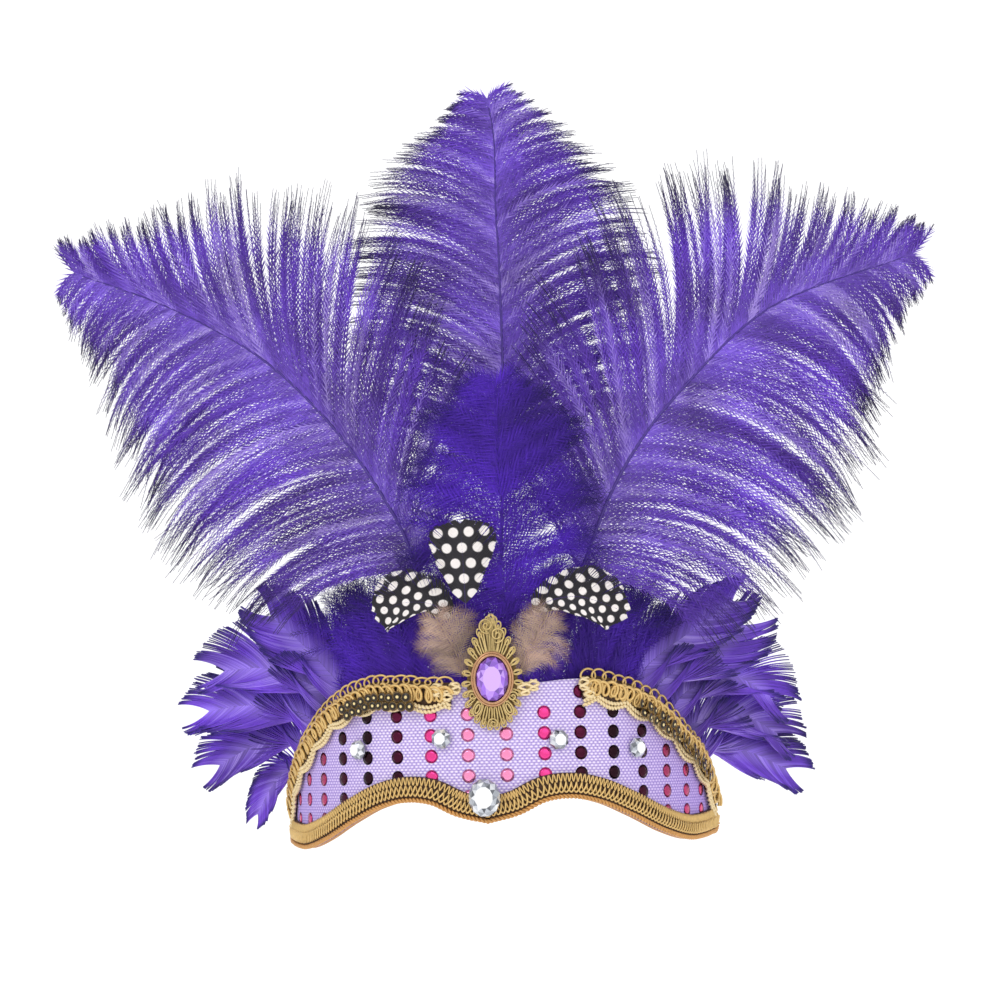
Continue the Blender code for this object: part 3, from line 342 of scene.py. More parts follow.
ARCS = wall_arcs()
ROWS = [row.angle for row in BAND_OUTLINE]
SHARES = np.minimum(np.abs(ANGLES) / BAND_END_ANGLE, 1.0)
LOWER_EDGE = BAND_DROP * smooth_values(ROWS, [row.lower for row in BAND_OUTLINE], SHARES)
UPPER_EDGE = BAND_RISE * smooth_values(ROWS, [row.upper for row in BAND_OUTLINE], SHARES)


def arc_at(angle):
    return np.interp(angle, ANGLES, ARCS)


def on_wall(arc, height, offset):
    """Points at an offset outwards from the band's inner face."""
    plan, out = wall_frame(np.interp(arc, ARCS, ANGLES))
    spot = plan + np.expand_dims(offset, -1) * out
    return np.concatenate([spot, np.expand_dims(height, -1)], axis=-1)


def wall_out(arc):
    plan, out = wall_frame(np.interp(arc, ARCS, ANGLES))
    return np.concatenate([out, np.zeros(out.shape[:-1] + (1,))], axis=-1)


def on_trim(edge, inwards, arc, across, lift):
    """Points at a distance across a trim from the band's edge, lifted off the cloth."""
    slope = np.interp(arc, ARCS, np.gradient(edge, ARCS))
    length = np.hypot(1.0, slope)
    height = np.interp(arc, ARCS, edge) + inwards * across / length
    shifted = arc - inwards * across * slope / length
    return on_wall(shifted, height, BAND_WALL + CLEARANCE + lift + 0 * arc)


# Feather shafts and barbs

SHAFT_STEPS = 12


class Shaft:
    """A feather's shaft: a smooth path with a face direction, read at shares of its length."""

    def __init__(self, knots, face_at):
        dense = []
        padded = [2 * knots[0] - knots[1], *knots, 2 * knots[-1] - knots[-2]]
        for p0, p1, p2, p3 in zip(padded, padded[1:], padded[2:], padded[3:]):
            for step in range(SHAFT_STEPS):
                t = step / SHAFT_STEPS
                dense.append(0.5 * (
                    2 * p1 + (p2 - p0) * t + (2 * p0 - 5 * p1 + 4 * p2 - p3) * t ** 2
                    + (3 * p1 - p0 - 3 * p2 + p3) * t ** 3))
        dense.append(knots[-1])
        points = np.array(dense)
        steps = np.linalg.norm(np.diff(points, axis=0), axis=1)
        self.length = float(steps.sum())
        self.shares = np.concatenate(([0.0], np.cumsum(steps))) / self.length
        self.points = points
        self.face_at = face_at

    def point(self, share):
        return np.stack([np.interp(share, self.shares, self.points[:, k]) for k in range(3)], -1)

    def frame(self, share):
        """Points, tangents, sideways directions and face directions."""
        step = 0.01
        along = (self.point(np.minimum(1.0, share + step))
                 - self.point(np.maximum(0.0, share - step)))
        along /= np.linalg.norm(along, axis=-1, keepdims=True)
        face = self.face_at(share)
        face = face - along * np.sum(face * along, axis=-1, keepdims=True)
        face /= np.linalg.norm(face, axis=-1, keepdims=True)
        return self.point(share), along, np.cross(along, face), face


def free_shaft(angle, tuck, quill, side, reach, route):
    """A shaft that starts on the band's inner face and then follows its own route."""
    arc = arc_at(angle)
    height = float(np.interp(angle, ANGLES, UPPER_EDGE)) - tuck
    root = on_wall(arc, height, -(CLEARANCE + quill))
    knots = [root]
    for out, up, back in route:
        knots.append(root + reach * np.array((side * out, back, up)))
    return Shaft(knots, lambda share: np.zeros(np.shape(share) + (3,)) + (0.0, -1.0, 0.0))


FRINGE_KNOTS = 6


def fringe_shaft(first, last):
    """A shaft that lies along the band's inner face."""
    def angle(share):
        return first + (last - first) * share

    knots = []
    for number in range(FRINGE_KNOTS):
        turn = angle(number / (FRINGE_KNOTS - 1))
        height = float(np.interp(turn, ANGLES, UPPER_EDGE)) - MARABOU_FRINGE_TUCK
        knots.append(on_wall(arc_at(turn), height, -(MARABOU_FRINGE_CLEARANCE + MARABOU_QUILL)))
    return Shaft(knots, lambda share: wall_out(arc_at(angle(share))))


# How the barbs of one kind of feather grow: barbs a side, points on each, how many share a
# lock, how far they close up to it at the tip, how much lengths, angles (degrees) and depths
# vary, how far a barb waves, and how long its barbules are near its foot and tip
Growth = namedtuple("Growth", "barbs points lock closing uneven swing depth wave foot tip")
PLUME_GROWTH = Growth(440, 10, 5.0, 0.80, 0.10, 3.5, 0.034, 0.006, 1.0, 0.10)
MARABOU_GROWTH = Growth(230, 9, 6.0, 0.50, 0.14, 9.0, 0.070, 0.020, 1.0, 0.5)
FRINGE_GROWTH = Growth(190, 9, 6.0, 0.50, 0.16, 13.0, 0.080, 0.020, 1.0, 0.5)
SMOOTH_GROWTH = Growth(120, 10, 7.0, 0.16, 0.04, 1.4, 0.018, 0.004, 0.5, 0.3)
GUINEA_GROWTH = Growth(110, 11, 9.0, 0.10, 0.03, 1.0, 0.008, 0.002, 0.5, 0.3)
TAN_GROWTH = Growth(52, 9, 4.0, 0.55, 0.25, 14.0, 0.120, 0.040, 1.0, 0.6)


# What all kinds share: how far a barb's foot strays from even spacing, how the sizes of locks
# vary, how late a barb closes up to its lock, the share of a lock's variation that each barb
# has for itself, the shortest barb of a lock, the loss of thickness towards the tip, the
# barbules' lengths up the barb, and how far a barb's wave runs, in radians
FOOT_JITTER = 0.35
LOCK_SIZES = (0.5, 1.5)
CLOSING_POWER = 2.6
OWN_SHARE = 0.35
SHORTEST = 0.97
TIP_LOSS = 0.45
FLUFF_PLACES = (0.0, 0.15, 0.7, 1.0)
FLUFF_MIDDLE = (1.0, 0.9)
RIPPLES = 5.0


def barbs(name, shaft, vane_from, sides, barb, growth, seed):
    """Guide lines of a feather's barbs, gathered into locks, for the barb tree to dress."""
    rng = np.random.default_rng(seed)
    lines, along, lock, taper, fluff, face, vane = [], [], [], [], [], [], []
    t = np.linspace(0.0, 1.0, growth.points)
    for side, shape in sides:
        strays = rng.uniform(-FOOT_JITTER, FOOT_JITTER, growth.barbs)
        foot = (np.arange(growth.barbs) + strays + 0.5)
        foot = np.clip(foot / growth.barbs, 0.0, 1.0)
        ends = np.cumsum(rng.uniform(*LOCK_SIZES, growth.barbs) * growth.lock / growth.barbs)
        member = np.searchsorted(ends, foot)
        middles = np.array([foot[member == m].mean() if np.any(member == m) else 0.0
                            for m in range(member.max() + 1)])
        locks = len(middles)
        reach_of_lock = rng.uniform(1 - growth.uneven, 1 + growth.uneven * 0.5, locks)
        swing_of_lock = rng.normal(0.0, growth.swing, locks)
        depth_of_lock = rng.uniform(-growth.depth, growth.depth, locks)
        # How much painted light and shade each lock gets, for the barbs' material
        light_of_lock = rng.uniform(0.0, 1.0, locks)
        for i in range(growth.barbs):
            m = member[i]
            close = growth.closing * t ** CLOSING_POWER
            place = np.clip(foot[i] + (middles[m] - foot[i]) * close, 0.0, 1.0)
            point, forward, sideways, look = shaft.frame(vane_from + (1 - vane_from) * place)
            rows = np.linspace(0.0, 1.0, len(shape.lengths))
            length = barb * smooth_values(rows, shape.lengths, place)
            length = length * reach_of_lock[m] * rng.uniform(SHORTEST, SHORTEST + growth.uneven)
            spread = swing_of_lock[m] * t + rng.normal(0.0, growth.swing * OWN_SHARE)
            start = np.radians(shape.start_angle + shape.foot_turn * (1 - place) ** 2 + spread)
            bend = np.radians(shape.end_angle - shape.start_angle)
            turn = start + bend * t
            ahead = length * (np.sin(turn) - np.sin(start)) / bend
            out = length * (np.cos(start) - np.cos(turn)) / bend
            phase = rng.uniform(0.0, 2 * math.pi)
            ripple = growth.wave * np.sin(RIPPLES * t + phase) * t
            own_depth = rng.normal(0.0, growth.depth * OWN_SHARE)
            lift = shape.curl * t + depth_of_lock[m] + own_depth
            spot = (point + forward * (ahead + length * ripple)[:, None]
                    + sideways * (side * out)[:, None]
                    + look * (length * t * lift)[:, None])
            lines.append(spot)
            along.append(t)
            lock.append(np.full(growth.points, 0.6 * light_of_lock[m] + 0.4 * rng.uniform()))
            taper.append(1.0 - TIP_LOSS * t)
            fluff.append(np.interp(t, FLUFF_PLACES, (growth.foot, *FLUFF_MIDDLE, growth.tip)))
            face.append(look)
            up = shaft.length * (vane_from + (1 - vane_from) * place) + ahead
            vane.append(1000 * np.stack([side * out, up, 0 * t], -1))
    return polylines(name, lines, along=along, lock=lock, taper=taper, fluff=fluff,
                     face=face, vane_mm=vane)


# How far a barbule rolls round its barb either way, in radians, and how barbule sizes vary
BARBULE_ROLL = 0.75
BARBULE_SIZES = (0.6, 1.15)


def barb_tree():
    """Three-sided tapering barbs, with thin barbules on both sides of each."""
    tree, given, out = new_tree("barbs", (
        ("Barb Thickness", "Float"), ("Barbule Pitch", "Float"), ("Barbule Length", "Float"),
        ("Barbule Width", "Float"), ("Barbule Angle", "Float"), ("Seed", "Int"),
        ("Material", "Material")))
    taper = add(tree, "GeometryNodeInputNamedAttribute", {"data_type": "FLOAT"}, {"Name": "taper"})
    fluff = add(tree, "GeometryNodeInputNamedAttribute", {"data_type": "FLOAT"}, {"Name": "fluff"})
    face = add(tree, "GeometryNodeInputNamedAttribute", {"data_type": "FLOAT_VECTOR"},
               {"Name": "face"})
    line = add(tree, "GeometryNodeMeshToCurve", inputs={"Mesh": given.outputs["Geometry"]})
    faced = add(tree, "GeometryNodeSetCurveNormal", {"mode": "FREE"},
                {"Curve": line.outputs[0], "Normal": face.outputs[0]})
    radius = add(tree, "ShaderNodeMath", {"operation": "MULTIPLY"},
                 {0: taper.outputs[0], 1: given.outputs["Barb Thickness"]})
    half = add(tree, "ShaderNodeMath", {"operation": "MULTIPLY"}, {0: radius.outputs[0], 1: 0.5})
    profile = add(tree, "GeometryNodeCurvePrimitiveCircle", inputs={"Resolution": 3, "Radius": 1.0})
    barb = add(tree, "GeometryNodeCurveToMesh", inputs={
        "Curve": faced.outputs[0], "Profile Curve": profile.outputs[0],
        "Scale": half.outputs[0], "Fill Caps": True})
    spots = add(tree, "GeometryNodeCurveToPoints", {"mode": "LENGTH"},
                {"Curve": faced.outputs[0], "Length": given.outputs["Barbule Pitch"]})
    blade = add(tree, "GeometryNodeMeshCircle", {"fill_type": "NGON"},
                {"Vertices": 3, "Radius": 1.0})
    # The circle's triangle gets its base at the origin and points along +X, one unit long
    based = add(tree, "GeometryNodeTransform", inputs={
        "Geometry": blade.outputs[0], "Translation": (1 / 3, 0.0, 0.0),
        "Scale": (2 / 3, 1 / math.sqrt(3), 1.0)})
    shape = add(tree, "ShaderNodeCombineXYZ", inputs={
        "X": given.outputs["Barbule Length"], "Y": given.outputs["Barbule Width"], "Z": 1.0})
    upright = add(tree, "GeometryNodeTransform", inputs={
        "Geometry": based.outputs[0], "Scale": shape.outputs[0]})
    upright = add(tree, "GeometryNodeTransform", inputs={
        "Geometry": upright.outputs[0], "Rotation": (0.0, -math.pi / 2, 0.0)})
    index = add(tree, "GeometryNodeInputIndex")
    odd = add(tree, "ShaderNodeMath", {"operation": "MODULO"}, {0: index.outputs[0], 1: 2.0})
    jitter = add(tree, "FunctionNodeRandomValue", {"data_type": "FLOAT"},
                 {2: -BARBULE_ROLL, 3: BARBULE_ROLL, "Seed": given.outputs["Seed"]})
    roll = add(tree, "ShaderNodeMath", {"operation": "MULTIPLY_ADD"},
               {0: odd.outputs[0], 1: math.pi, 2: jitter.outputs[1]})
    lean = add(tree, "ShaderNodeMath", {"operation": "MULTIPLY"},
               {0: given.outputs["Barbule Angle"], 1: -1.0})
    turn = add(tree, "ShaderNodeCombineXYZ", inputs={"X": lean.outputs[0], "Z": roll.outputs[0]})
    turned = add(tree, "FunctionNodeEulerToRotation", inputs={0: turn.outputs[0]})
    stand = add(tree, "FunctionNodeAxesToRotation",
                {"primary_axis": "Z", "secondary_axis": "X"},
                {0: spots.outputs["Tangent"], 1: face.outputs[0]})
    rotation = add(tree, "FunctionNodeRotateRotation", {"rotation_space": "LOCAL"},
                   {0: stand.outputs[0], 1: turned.outputs[0]})
    vary = add(tree, "FunctionNodeRandomValue", {"data_type": "FLOAT"},
               {2: BARBULE_SIZES[0], 3: BARBULE_SIZES[1], "Seed": given.outputs["Seed"]})
    size = add(tree, "ShaderNodeMath", {"operation": "MULTIPLY"},
               {0: fluff.outputs[0], 1: vary.outputs[1]})
    down = add(tree, "GeometryNodeInstanceOnPoints", inputs={
        "Points": spots.outputs["Points"], "Instance": upright.outputs[0],
        "Rotation": rotation.outputs[0], "Scale": size.outputs[0]})
    marked = add(tree, "GeometryNodeStoreNamedAttribute",
                 {"data_type": "FLOAT", "domain": "INSTANCE"},
                 {"Geometry": down.outputs[0], "Name": "down", "Value": 1.0})
    both = add(tree, "GeometryNodeJoinGeometry")
    tree.links.new(barb.outputs[0], both.inputs[0])
    tree.links.new(marked.outputs[0], both.inputs[0])
    real = add(tree, "GeometryNodeRealizeInstances", inputs={"Geometry": both.outputs[0]})
    final = add(tree, "GeometryNodeSetMaterial", inputs={
        "Geometry": real.outputs[0], "Material": given.outputs["Material"]})
    tree.links.new(final.outputs[0], out.inputs[0])
    return tree


def tube_tree():
    """Round tubes along lines, for quills, cords and wires."""
    tree, given, out = new_tree("tubes", (
        ("Thickness", "Float"), ("Sides", "Int"), ("Material", "Material")))
    taper = add(tree, "GeometryNodeInputNamedAttribute", {"data_type": "FLOAT"}, {"Name": "taper"})
    line = add(tree, "GeometryNodeMeshToCurve", inputs={"Mesh": given.outputs["Geometry"]})
    radius = add(tree, "ShaderNodeMath", {"operation": "MULTIPLY"},
                 {0: taper.outputs[0], 1: given.outputs["Thickness"]})
    half = add(tree, "ShaderNodeMath", {"operation": "MULTIPLY"}, {0: radius.outputs[0], 1: 0.5})
    profile = add(tree, "GeometryNodeCurvePrimitiveCircle",
                  inputs={"Resolution": given.outputs["Sides"], "Radius": 1.0})
    tube = add(tree, "GeometryNodeCurveToMesh", inputs={
        "Curve": line.outputs[0], "Profile Curve": profile.outputs[0],
        "Scale": half.outputs[0], "Fill Caps": True})
    smooth = add(tree, "GeometryNodeSetShadeSmooth",
                 inputs={"Geometry": tube.outputs[0], "Shade Smooth": True})
    real = add(tree, "GeometryNodeRealizeInstances", inputs={"Geometry": smooth.outputs[0]})
    final = add(tree, "GeometryNodeSetMaterial", inputs={
        "Geometry": real.outputs[0], "Material": given.outputs["Material"]})
    tree.links.new(final.outputs[0], out.inputs[0])
    return tree


def placing_tree():
    """One small piece on every point, turned to the point's own directions."""
    tree, given, out = new_tree("placing", (
        ("Item", "Object"), ("Size", "Float"), ("Material", "Material")))
    outward = add(tree, "GeometryNodeInputNamedAttribute", {"data_type": "FLOAT_VECTOR"},
                  {"Name": "outward"})
    beside = add(tree, "GeometryNodeInputNamedAttribute", {"data_type": "FLOAT_VECTOR"},
                 {"Name": "beside"})
    scale = add(tree, "GeometryNodeInputNamedAttribute", {"data_type": "FLOAT"}, {"Name": "size"})
    item = add(tree, "GeometryNodeObjectInfo", inputs={
        "Object": given.outputs["Item"], "As Instance": True})
    stand = add(tree, "FunctionNodeAxesToRotation",
                {"primary_axis": "Z", "secondary_axis": "X"},
                {0: outward.outputs[0], 1: beside.outputs[0]})
    sized = add(tree, "ShaderNodeMath", {"operation": "MULTIPLY"},
                {0: scale.outputs[0], 1: given.outputs["Size"]})
    placed = add(tree, "GeometryNodeInstanceOnPoints", inputs={
        "Points": given.outputs["Geometry"], "Instance": item.outputs["Geometry"],
        "Rotation": stand.outputs[0], "Scale": sized.outputs[0]})
    real = add(tree, "GeometryNodeRealizeInstances", inputs={"Geometry": placed.outputs[0]})
    final = add(tree, "GeometryNodeSetMaterial", inputs={
        "Geometry": real.outputs[0], "Material": given.outputs["Material"]})
    tree.links.new(final.outputs[0], out.inputs[0])
    return tree


BARB_TREE = barb_tree()
TUBE_TREE = tube_tree()
PLACING_TREE = placing_tree()


# Materials

# Patterns a metre: a grain about 1.1 mm wide, patches of painted light and shade about 30 mm wide,
# and patches about as wide as a sequin
GRAIN = 900.0
LIGHT_PATCHES = 32.0
WORN_PATCHES = 260.0

# A dye on feathers: colours of a barb's foot, middle and tip and of its barbules, roughness, and
# how strong the painted highlight streaks on the lightest locks are
Dye = namedtuple("Dye", "foot middle tip down rough pale_streaks")
PLUME_DYE = Dye("#7a5cc6", "#5528aa", "#180840", "#6c46c0", 0.65, 0.50)
MARABOU_DYE = Dye("#3f1698", "#42189e", "#220a5e", "#4c22ac", 0.80, 0.0)
SMOOTH_DYE = Dye("#8e70da", "#6638c0", "#2e1478", "#8460d4", 0.42, 0.40)
NATURAL_TAN = Dye("#9c7e70", "#b4988a", "#86695c", "#bfa798", 0.80, 0.0)


def dyed_barbs(name, dye):
    """Dyed feather barbs: matt keratin, paler at the foot and in the barbules, darker tips, with
    painted highlight streaks and painted light and shade.
    """
    material, tree, shader = new_material(name)
    along = add(tree, "ShaderNodeAttribute", {"attribute_name": "along"})
    lock = add(tree, "ShaderNodeAttribute", {"attribute_name": "lock"})
    fluffy = add(tree, "ShaderNodeAttribute", {"attribute_name": "down"})
    ramp = add(tree, "ShaderNodeValToRGB",
               {"stops": ((0.0, dye.foot), (0.40, dye.middle), (0.70, dye.middle),
                          (0.95, dye.tip))},
               {"Fac": along.outputs["Fac"]})
    tipless = add(tree, "ShaderNodeMapRange", inputs={
        "Value": along.outputs["Fac"], "From Min": 0.6, "From Max": 0.9,
        "To Min": 1.0, "To Max": 0.0})
    light_down = add(tree, "ShaderNodeMath", {"operation": "MULTIPLY"},
                     {0: fluffy.outputs["Fac"], 1: 0.65})
    pale = add(tree, "ShaderNodeMath", {"operation": "MULTIPLY"},
               {0: light_down.outputs[0], 1: tipless.outputs[0]})
    mixed = add(tree, "ShaderNodeMix", {"data_type": "RGBA"}, {
        "Factor": pale.outputs[0], 6: ramp.outputs["Color"], 7: rgb(dye.down)})
    # Painted light and shade: whole patches of a plume, and whole locks of its barbs, come out
    # lighter or darker
    place = add(tree, "ShaderNodeTexCoord")
    light_patch_noise = add(tree, "ShaderNodeTexNoise", inputs={
        "Vector": place.outputs["Object"], "Scale": LIGHT_PATCHES, "Detail": 2.0})
    painted_light_patches = add(tree, "ShaderNodeMapRange", inputs={
        "Value": light_patch_noise.outputs[0], "From Min": 0.3, "From Max": 0.7,
        "To Min": 0.62, "To Max": 1.30})
    lock_light = add(tree, "ShaderNodeMapRange", inputs={
        "Value": lock.outputs["Fac"], "To Min": 0.62, "To Max": 1.45})
    shade = add(tree, "ShaderNodeMath", {"operation": "MULTIPLY"},
                {0: painted_light_patches.outputs[0], 1: lock_light.outputs[0]})
    varied = add(tree, "ShaderNodeHueSaturation", inputs={
        "Color": mixed.outputs[2], "Value": shade.outputs[0]})
    # Painted highlight: the lightest locks are mixed towards pale lilac, away from their dark tips
    painted_highlight = add(tree, "ShaderNodeMapRange", inputs={
        "Value": lock.outputs["Fac"], "From Min": 0.62, "From Max": 0.95,
        "To Max": dye.pale_streaks})
    highlight_mask = add(tree, "ShaderNodeMath", {"operation": "MULTIPLY"},
                  {0: painted_highlight.outputs[0], 1: tipless.outputs[0]})
    highlighted = add(tree, "ShaderNodeMix", {"data_type": "RGBA"}, {
        "Factor": highlight_mask.outputs[0], 6: varied.outputs[0], 7: rgb("#c6b6e4")})
    tree.links.new(highlighted.outputs[2], shader.inputs["Base Color"])
    shader.inputs["Roughness"].default_value = dye.rough
    shader.inputs["Specular IOR Level"].default_value = 0.35
    shader.inputs["IOR"].default_value = 1.55
    shader.inputs["Sheen Weight"].default_value = 0.10
    shader.inputs["Sheen Tint"].default_value = rgb("#b9a6ff")
    return material


PLUME_BARBS = dyed_barbs("dyed_ostrich_barbs", PLUME_DYE)
MARABOU_BARBS = dyed_barbs("dyed_marabou_down", MARABOU_DYE)
SMOOTH_BARBS = dyed_barbs("dyed_goose_vane", SMOOTH_DYE)
TAN_BARBS = dyed_barbs("natural_tan_down", NATURAL_TAN)


def dotted_barbs():
    """Guinea fowl vane: black brown keratin with rows of round white dots along the barbs."""
    material, tree, shader = new_material("guinea_fowl_vane")
    spot = add(tree, "ShaderNodeAttribute", {"attribute_name": "vane_mm"})
    pitch = add(tree, "ShaderNodeAttribute", {"attribute_name": "dot_pitch"})
    scaled = add(tree, "ShaderNodeVectorMath", {"operation": "DIVIDE"},
                 {0: spot.outputs["Vector"], 1: pitch.outputs["Vector"]})
    parts = add(tree, "ShaderNodeSeparateXYZ", inputs={0: scaled.outputs[0]})
    row = add(tree, "ShaderNodeMath", {"operation": "FLOOR"}, {0: parts.outputs["Y"]})
    shift = add(tree, "ShaderNodeMath", {"operation": "MULTIPLY_ADD"},
                {0: row.outputs[0], 1: 0.5, 2: parts.outputs["X"]})
    across = add(tree, "ShaderNodeMath", {"operation": "FRACT"}, {0: shift.outputs[0]})
    up = add(tree, "ShaderNodeMath", {"operation": "FRACT"}, {0: parts.outputs["Y"]})
    cell = add(tree, "ShaderNodeCombineXYZ", inputs={"X": across.outputs[0], "Y": up.outputs[0]})
    reach = add(tree, "ShaderNodeVectorMath", {"operation": "DISTANCE"},
                {0: cell.outputs[0], 1: (0.5, 0.5, 0.0)})
    dot = add(tree, "ShaderNodeMapRange", inputs={
        "Value": reach.outputs["Value"], "From Min": 0.29, "From Max": 0.35,
        "To Min": 1.0, "To Max": 0.0})
    colour = add(tree, "ShaderNodeMix", {"data_type": "RGBA"}, {
        "Factor": dot.outputs[0], 6: rgb("#1c1620"), 7: rgb("#f6f0ee")})
    tree.links.new(colour.outputs[2], shader.inputs["Base Color"])
    shader.inputs["Roughness"].default_value = 0.55
    shader.inputs["IOR"].default_value = 1.55
    return material


GUINEA_BARBS = dotted_barbs()


def plain_finish(name, code, rough, metallic=0.0, ior=1.5):
    """A finish with one colour, broken up by a fine grain."""
    material, tree, shader = new_material(name)
    place = add(tree, "ShaderNodeTexCoord")
    grain = add(tree, "ShaderNodeTexNoise", inputs={
        "Vector": place.outputs["Object"], "Scale": GRAIN, "Detail": 3.0})
    shade = add(tree, "ShaderNodeMapRange", inputs={
        "Value": grain.outputs[0], "To Min": 0.75, "To Max": 1.25})
    varied = add(tree, "ShaderNodeHueSaturation", inputs={
        "Color": rgb(code), "Value": shade.outputs[0]})
    tree.links.new(varied.outputs[0], shader.inputs["Base Color"])
    shader.inputs["Roughness"].default_value = rough
    shader.inputs["Metallic"].default_value = metallic
    shader.inputs["IOR"].default_value = ior
    return material


# Dyed keratin is half glossy and dark. Gimp is metallised film wound round a core, so it is
# metallic but scattered by its winding. The braid's ground and the binding are matt cloth. Gilt
# metal is glossy on the bezel and dull where it has oxidised
QUILL_KERATIN = plain_finish("dyed_quill_keratin", "#3d2280", 0.45)
PALE_GIMP = plain_finish("pale_gold_metallic_gimp", "#d4b272", 0.40, 0.5)
OLD_GIMP = plain_finish("antique_gold_metallic_gimp", "#c28f52", 0.40, 0.5)
CREAM_GIMP = plain_finish("cream_gold_cord", "#e2cda0", 0.5, 0.3)
BROWN_GROUND = plain_finish("dark_brown_braid_ground", "#3c2410", 0.75)
TAN_BINDING = plain_finish("tan_binding_tape", "#b07c46", 0.7)
BEZEL_GILT = plain_finish("rose_gilt_bezel", "#b98f6c", 0.25, 0.9)
DARK_GILT = plain_finish("dark_oxidised_gilt_back", "#6b5430", 0.5, 0.6)
GILT_WIRE = plain_finish("antique_gilt_filigree_wire", "#c8b078", 0.34, 0.75)


# A stitch's height and width in millimetres. Real ones are finer, and these are drawn as coarse as
# they need to show. Between two distances from its middle, where the band turns away from the
# light, the cloth gets painted shade
KNIT_COURSE = 1.15
KNIT_WALE = 1.9
KNIT_PAINTED_SHADE = (45.0, 115.0)


def knitted_cloth():
    """Lilac lurex knit: white and lilac stitches in staggered courses, matt with a soft sheen."""
    material, tree, shader = new_material("lilac_lurex_knit")
    spot = add(tree, "ShaderNodeAttribute", {"attribute_name": "cloth_mm"})
    parts = add(tree, "ShaderNodeSeparateXYZ", inputs={0: spot.outputs["Vector"]})
    course = add(tree, "ShaderNodeMath", {"operation": "MULTIPLY"},
                 {0: parts.outputs["Y"], 1: 1 / KNIT_COURSE})
    row = add(tree, "ShaderNodeMath", {"operation": "FLOOR"}, {0: course.outputs[0]})
    wale = add(tree, "ShaderNodeMath", {"operation": "MULTIPLY"},
               {0: parts.outputs["X"], 1: 1 / KNIT_WALE})
    shift = add(tree, "ShaderNodeMath", {"operation": "MULTIPLY_ADD"},
                {0: row.outputs[0], 1: 0.5, 2: wale.outputs[0]})
    across = add(tree, "ShaderNodeMath", {"operation": "FRACT"}, {0: shift.outputs[0]})
    up = add(tree, "ShaderNodeMath", {"operation": "FRACT"}, {0: course.outputs[0]})
    cell = add(tree, "ShaderNodeCombineXYZ", inputs={"X": across.outputs[0], "Y": up.outputs[0]})
    reach = add(tree, "ShaderNodeVectorMath", {"operation": "DISTANCE"},
                {0: cell.outputs[0], 1: (0.5, 0.5, 0.0)})
    grain = add(tree, "ShaderNodeTexNoise", inputs={
        "Vector": spot.outputs["Vector"], "Scale": 0.9, "Detail": 2.0})
    wander = add(tree, "ShaderNodeMath", {"operation": "MULTIPLY_ADD"},
                 {0: grain.outputs[0], 1: 0.35, 2: reach.outputs["Value"]})
    ramp = add(tree, "ShaderNodeValToRGB", {"stops": (
        (0.30, "#ebe0f2"), (0.48, "#c9b9e2"), (0.66, "#a793d0"), (0.85, "#836db8"))},
        {"Fac": wander.outputs[0]})
    # Painted shade: towards the band's sides, where it turns away from the light, the cloth is
    # darkened towards purple
    outwards = add(tree, "ShaderNodeMath", {"operation": "ABSOLUTE"}, {0: parts.outputs["X"]})
    side = add(tree, "ShaderNodeMapRange", inputs={
        "Value": outwards.outputs[0], "From Min": KNIT_PAINTED_SHADE[0], "From Max": KNIT_PAINTED_SHADE[1],
        "To Max": 0.75})
    with_painted_shade = add(tree, "ShaderNodeMix", {"data_type": "RGBA", "blend_type": "MULTIPLY"}, {
        "Factor": side.outputs[0], 6: ramp.outputs[0], 7: rgb("#b283e6")})
    tree.links.new(with_painted_shade.outputs[2], shader.inputs["Base Color"])
    relief = add(tree, "ShaderNodeMath", {"operation": "SUBTRACT"},
                 {0: 1.0, 1: reach.outputs["Value"]})
    bump = add(tree, "ShaderNodeBump", inputs={
        "Strength": 0.5, "Distance": 0.0004, "Height": relief.outputs[0]})
    tree.links.new(bump.outputs[0], shader.inputs["Normal"])
    shader.inputs["Roughness"].default_value = 0.6
    shader.inputs["Sheen Weight"].default_value = 0.3
    return material


def foil_dots():
    """Hot foil dots: smooth metallic foil from pale pink at the middle to near black, which is a
    painted reflection of a dark room.
    """
    material, tree, shader = new_material("hot_stamped_foil")
    tint = add(tree, "ShaderNodeAttribute", {"attribute_name": "tint"})
    # The ramp's pinks are the foil's own colours; its near black stands for a painted reflection of
    # a dark room
    ramp = add(tree, "ShaderNodeValToRGB", {"steps": "LINEAR", "stops": (
        (0.00, "#f49ac4"), (0.20, "#f0569c"), (0.40, "#d81f7c"), (0.60, "#7a1748"),
        (0.80, "#1c0a12"), (1.00, "#d0487c"))}, {"Fac": tint.outputs["Fac"]})
    tree.links.new(ramp.outputs[0], shader.inputs["Base Color"])
    shader.inputs["Metallic"].default_value = 0.85
    shader.inputs["Roughness"].default_value = 0.22
    return material


def cut_acrylic(name, dark, middle, light):
    """Foil-backed acrylic stone: glossy, each of its facets with a painted reflection in another
    shade of its colour.
    """
    material, tree, shader = new_material(name)
    facet = add(tree, "ShaderNodeAttribute", {"attribute_name": "facet"})
    ramp = add(tree, "ShaderNodeValToRGB", {"stops": (
        (0.0, dark), (0.40, middle), (0.75, light), (1.0, light))}, {"Fac": facet.outputs["Fac"]})
    tree.links.new(ramp.outputs[0], shader.inputs["Base Color"])
    shader.inputs["Metallic"].default_value = 0.35
    shader.inputs["Roughness"].default_value = 0.06
    shader.inputs["IOR"].default_value = 1.49
    shader.inputs["Coat Weight"].default_value = 1.0
    shader.inputs["Coat Roughness"].default_value = 0.03
    return material


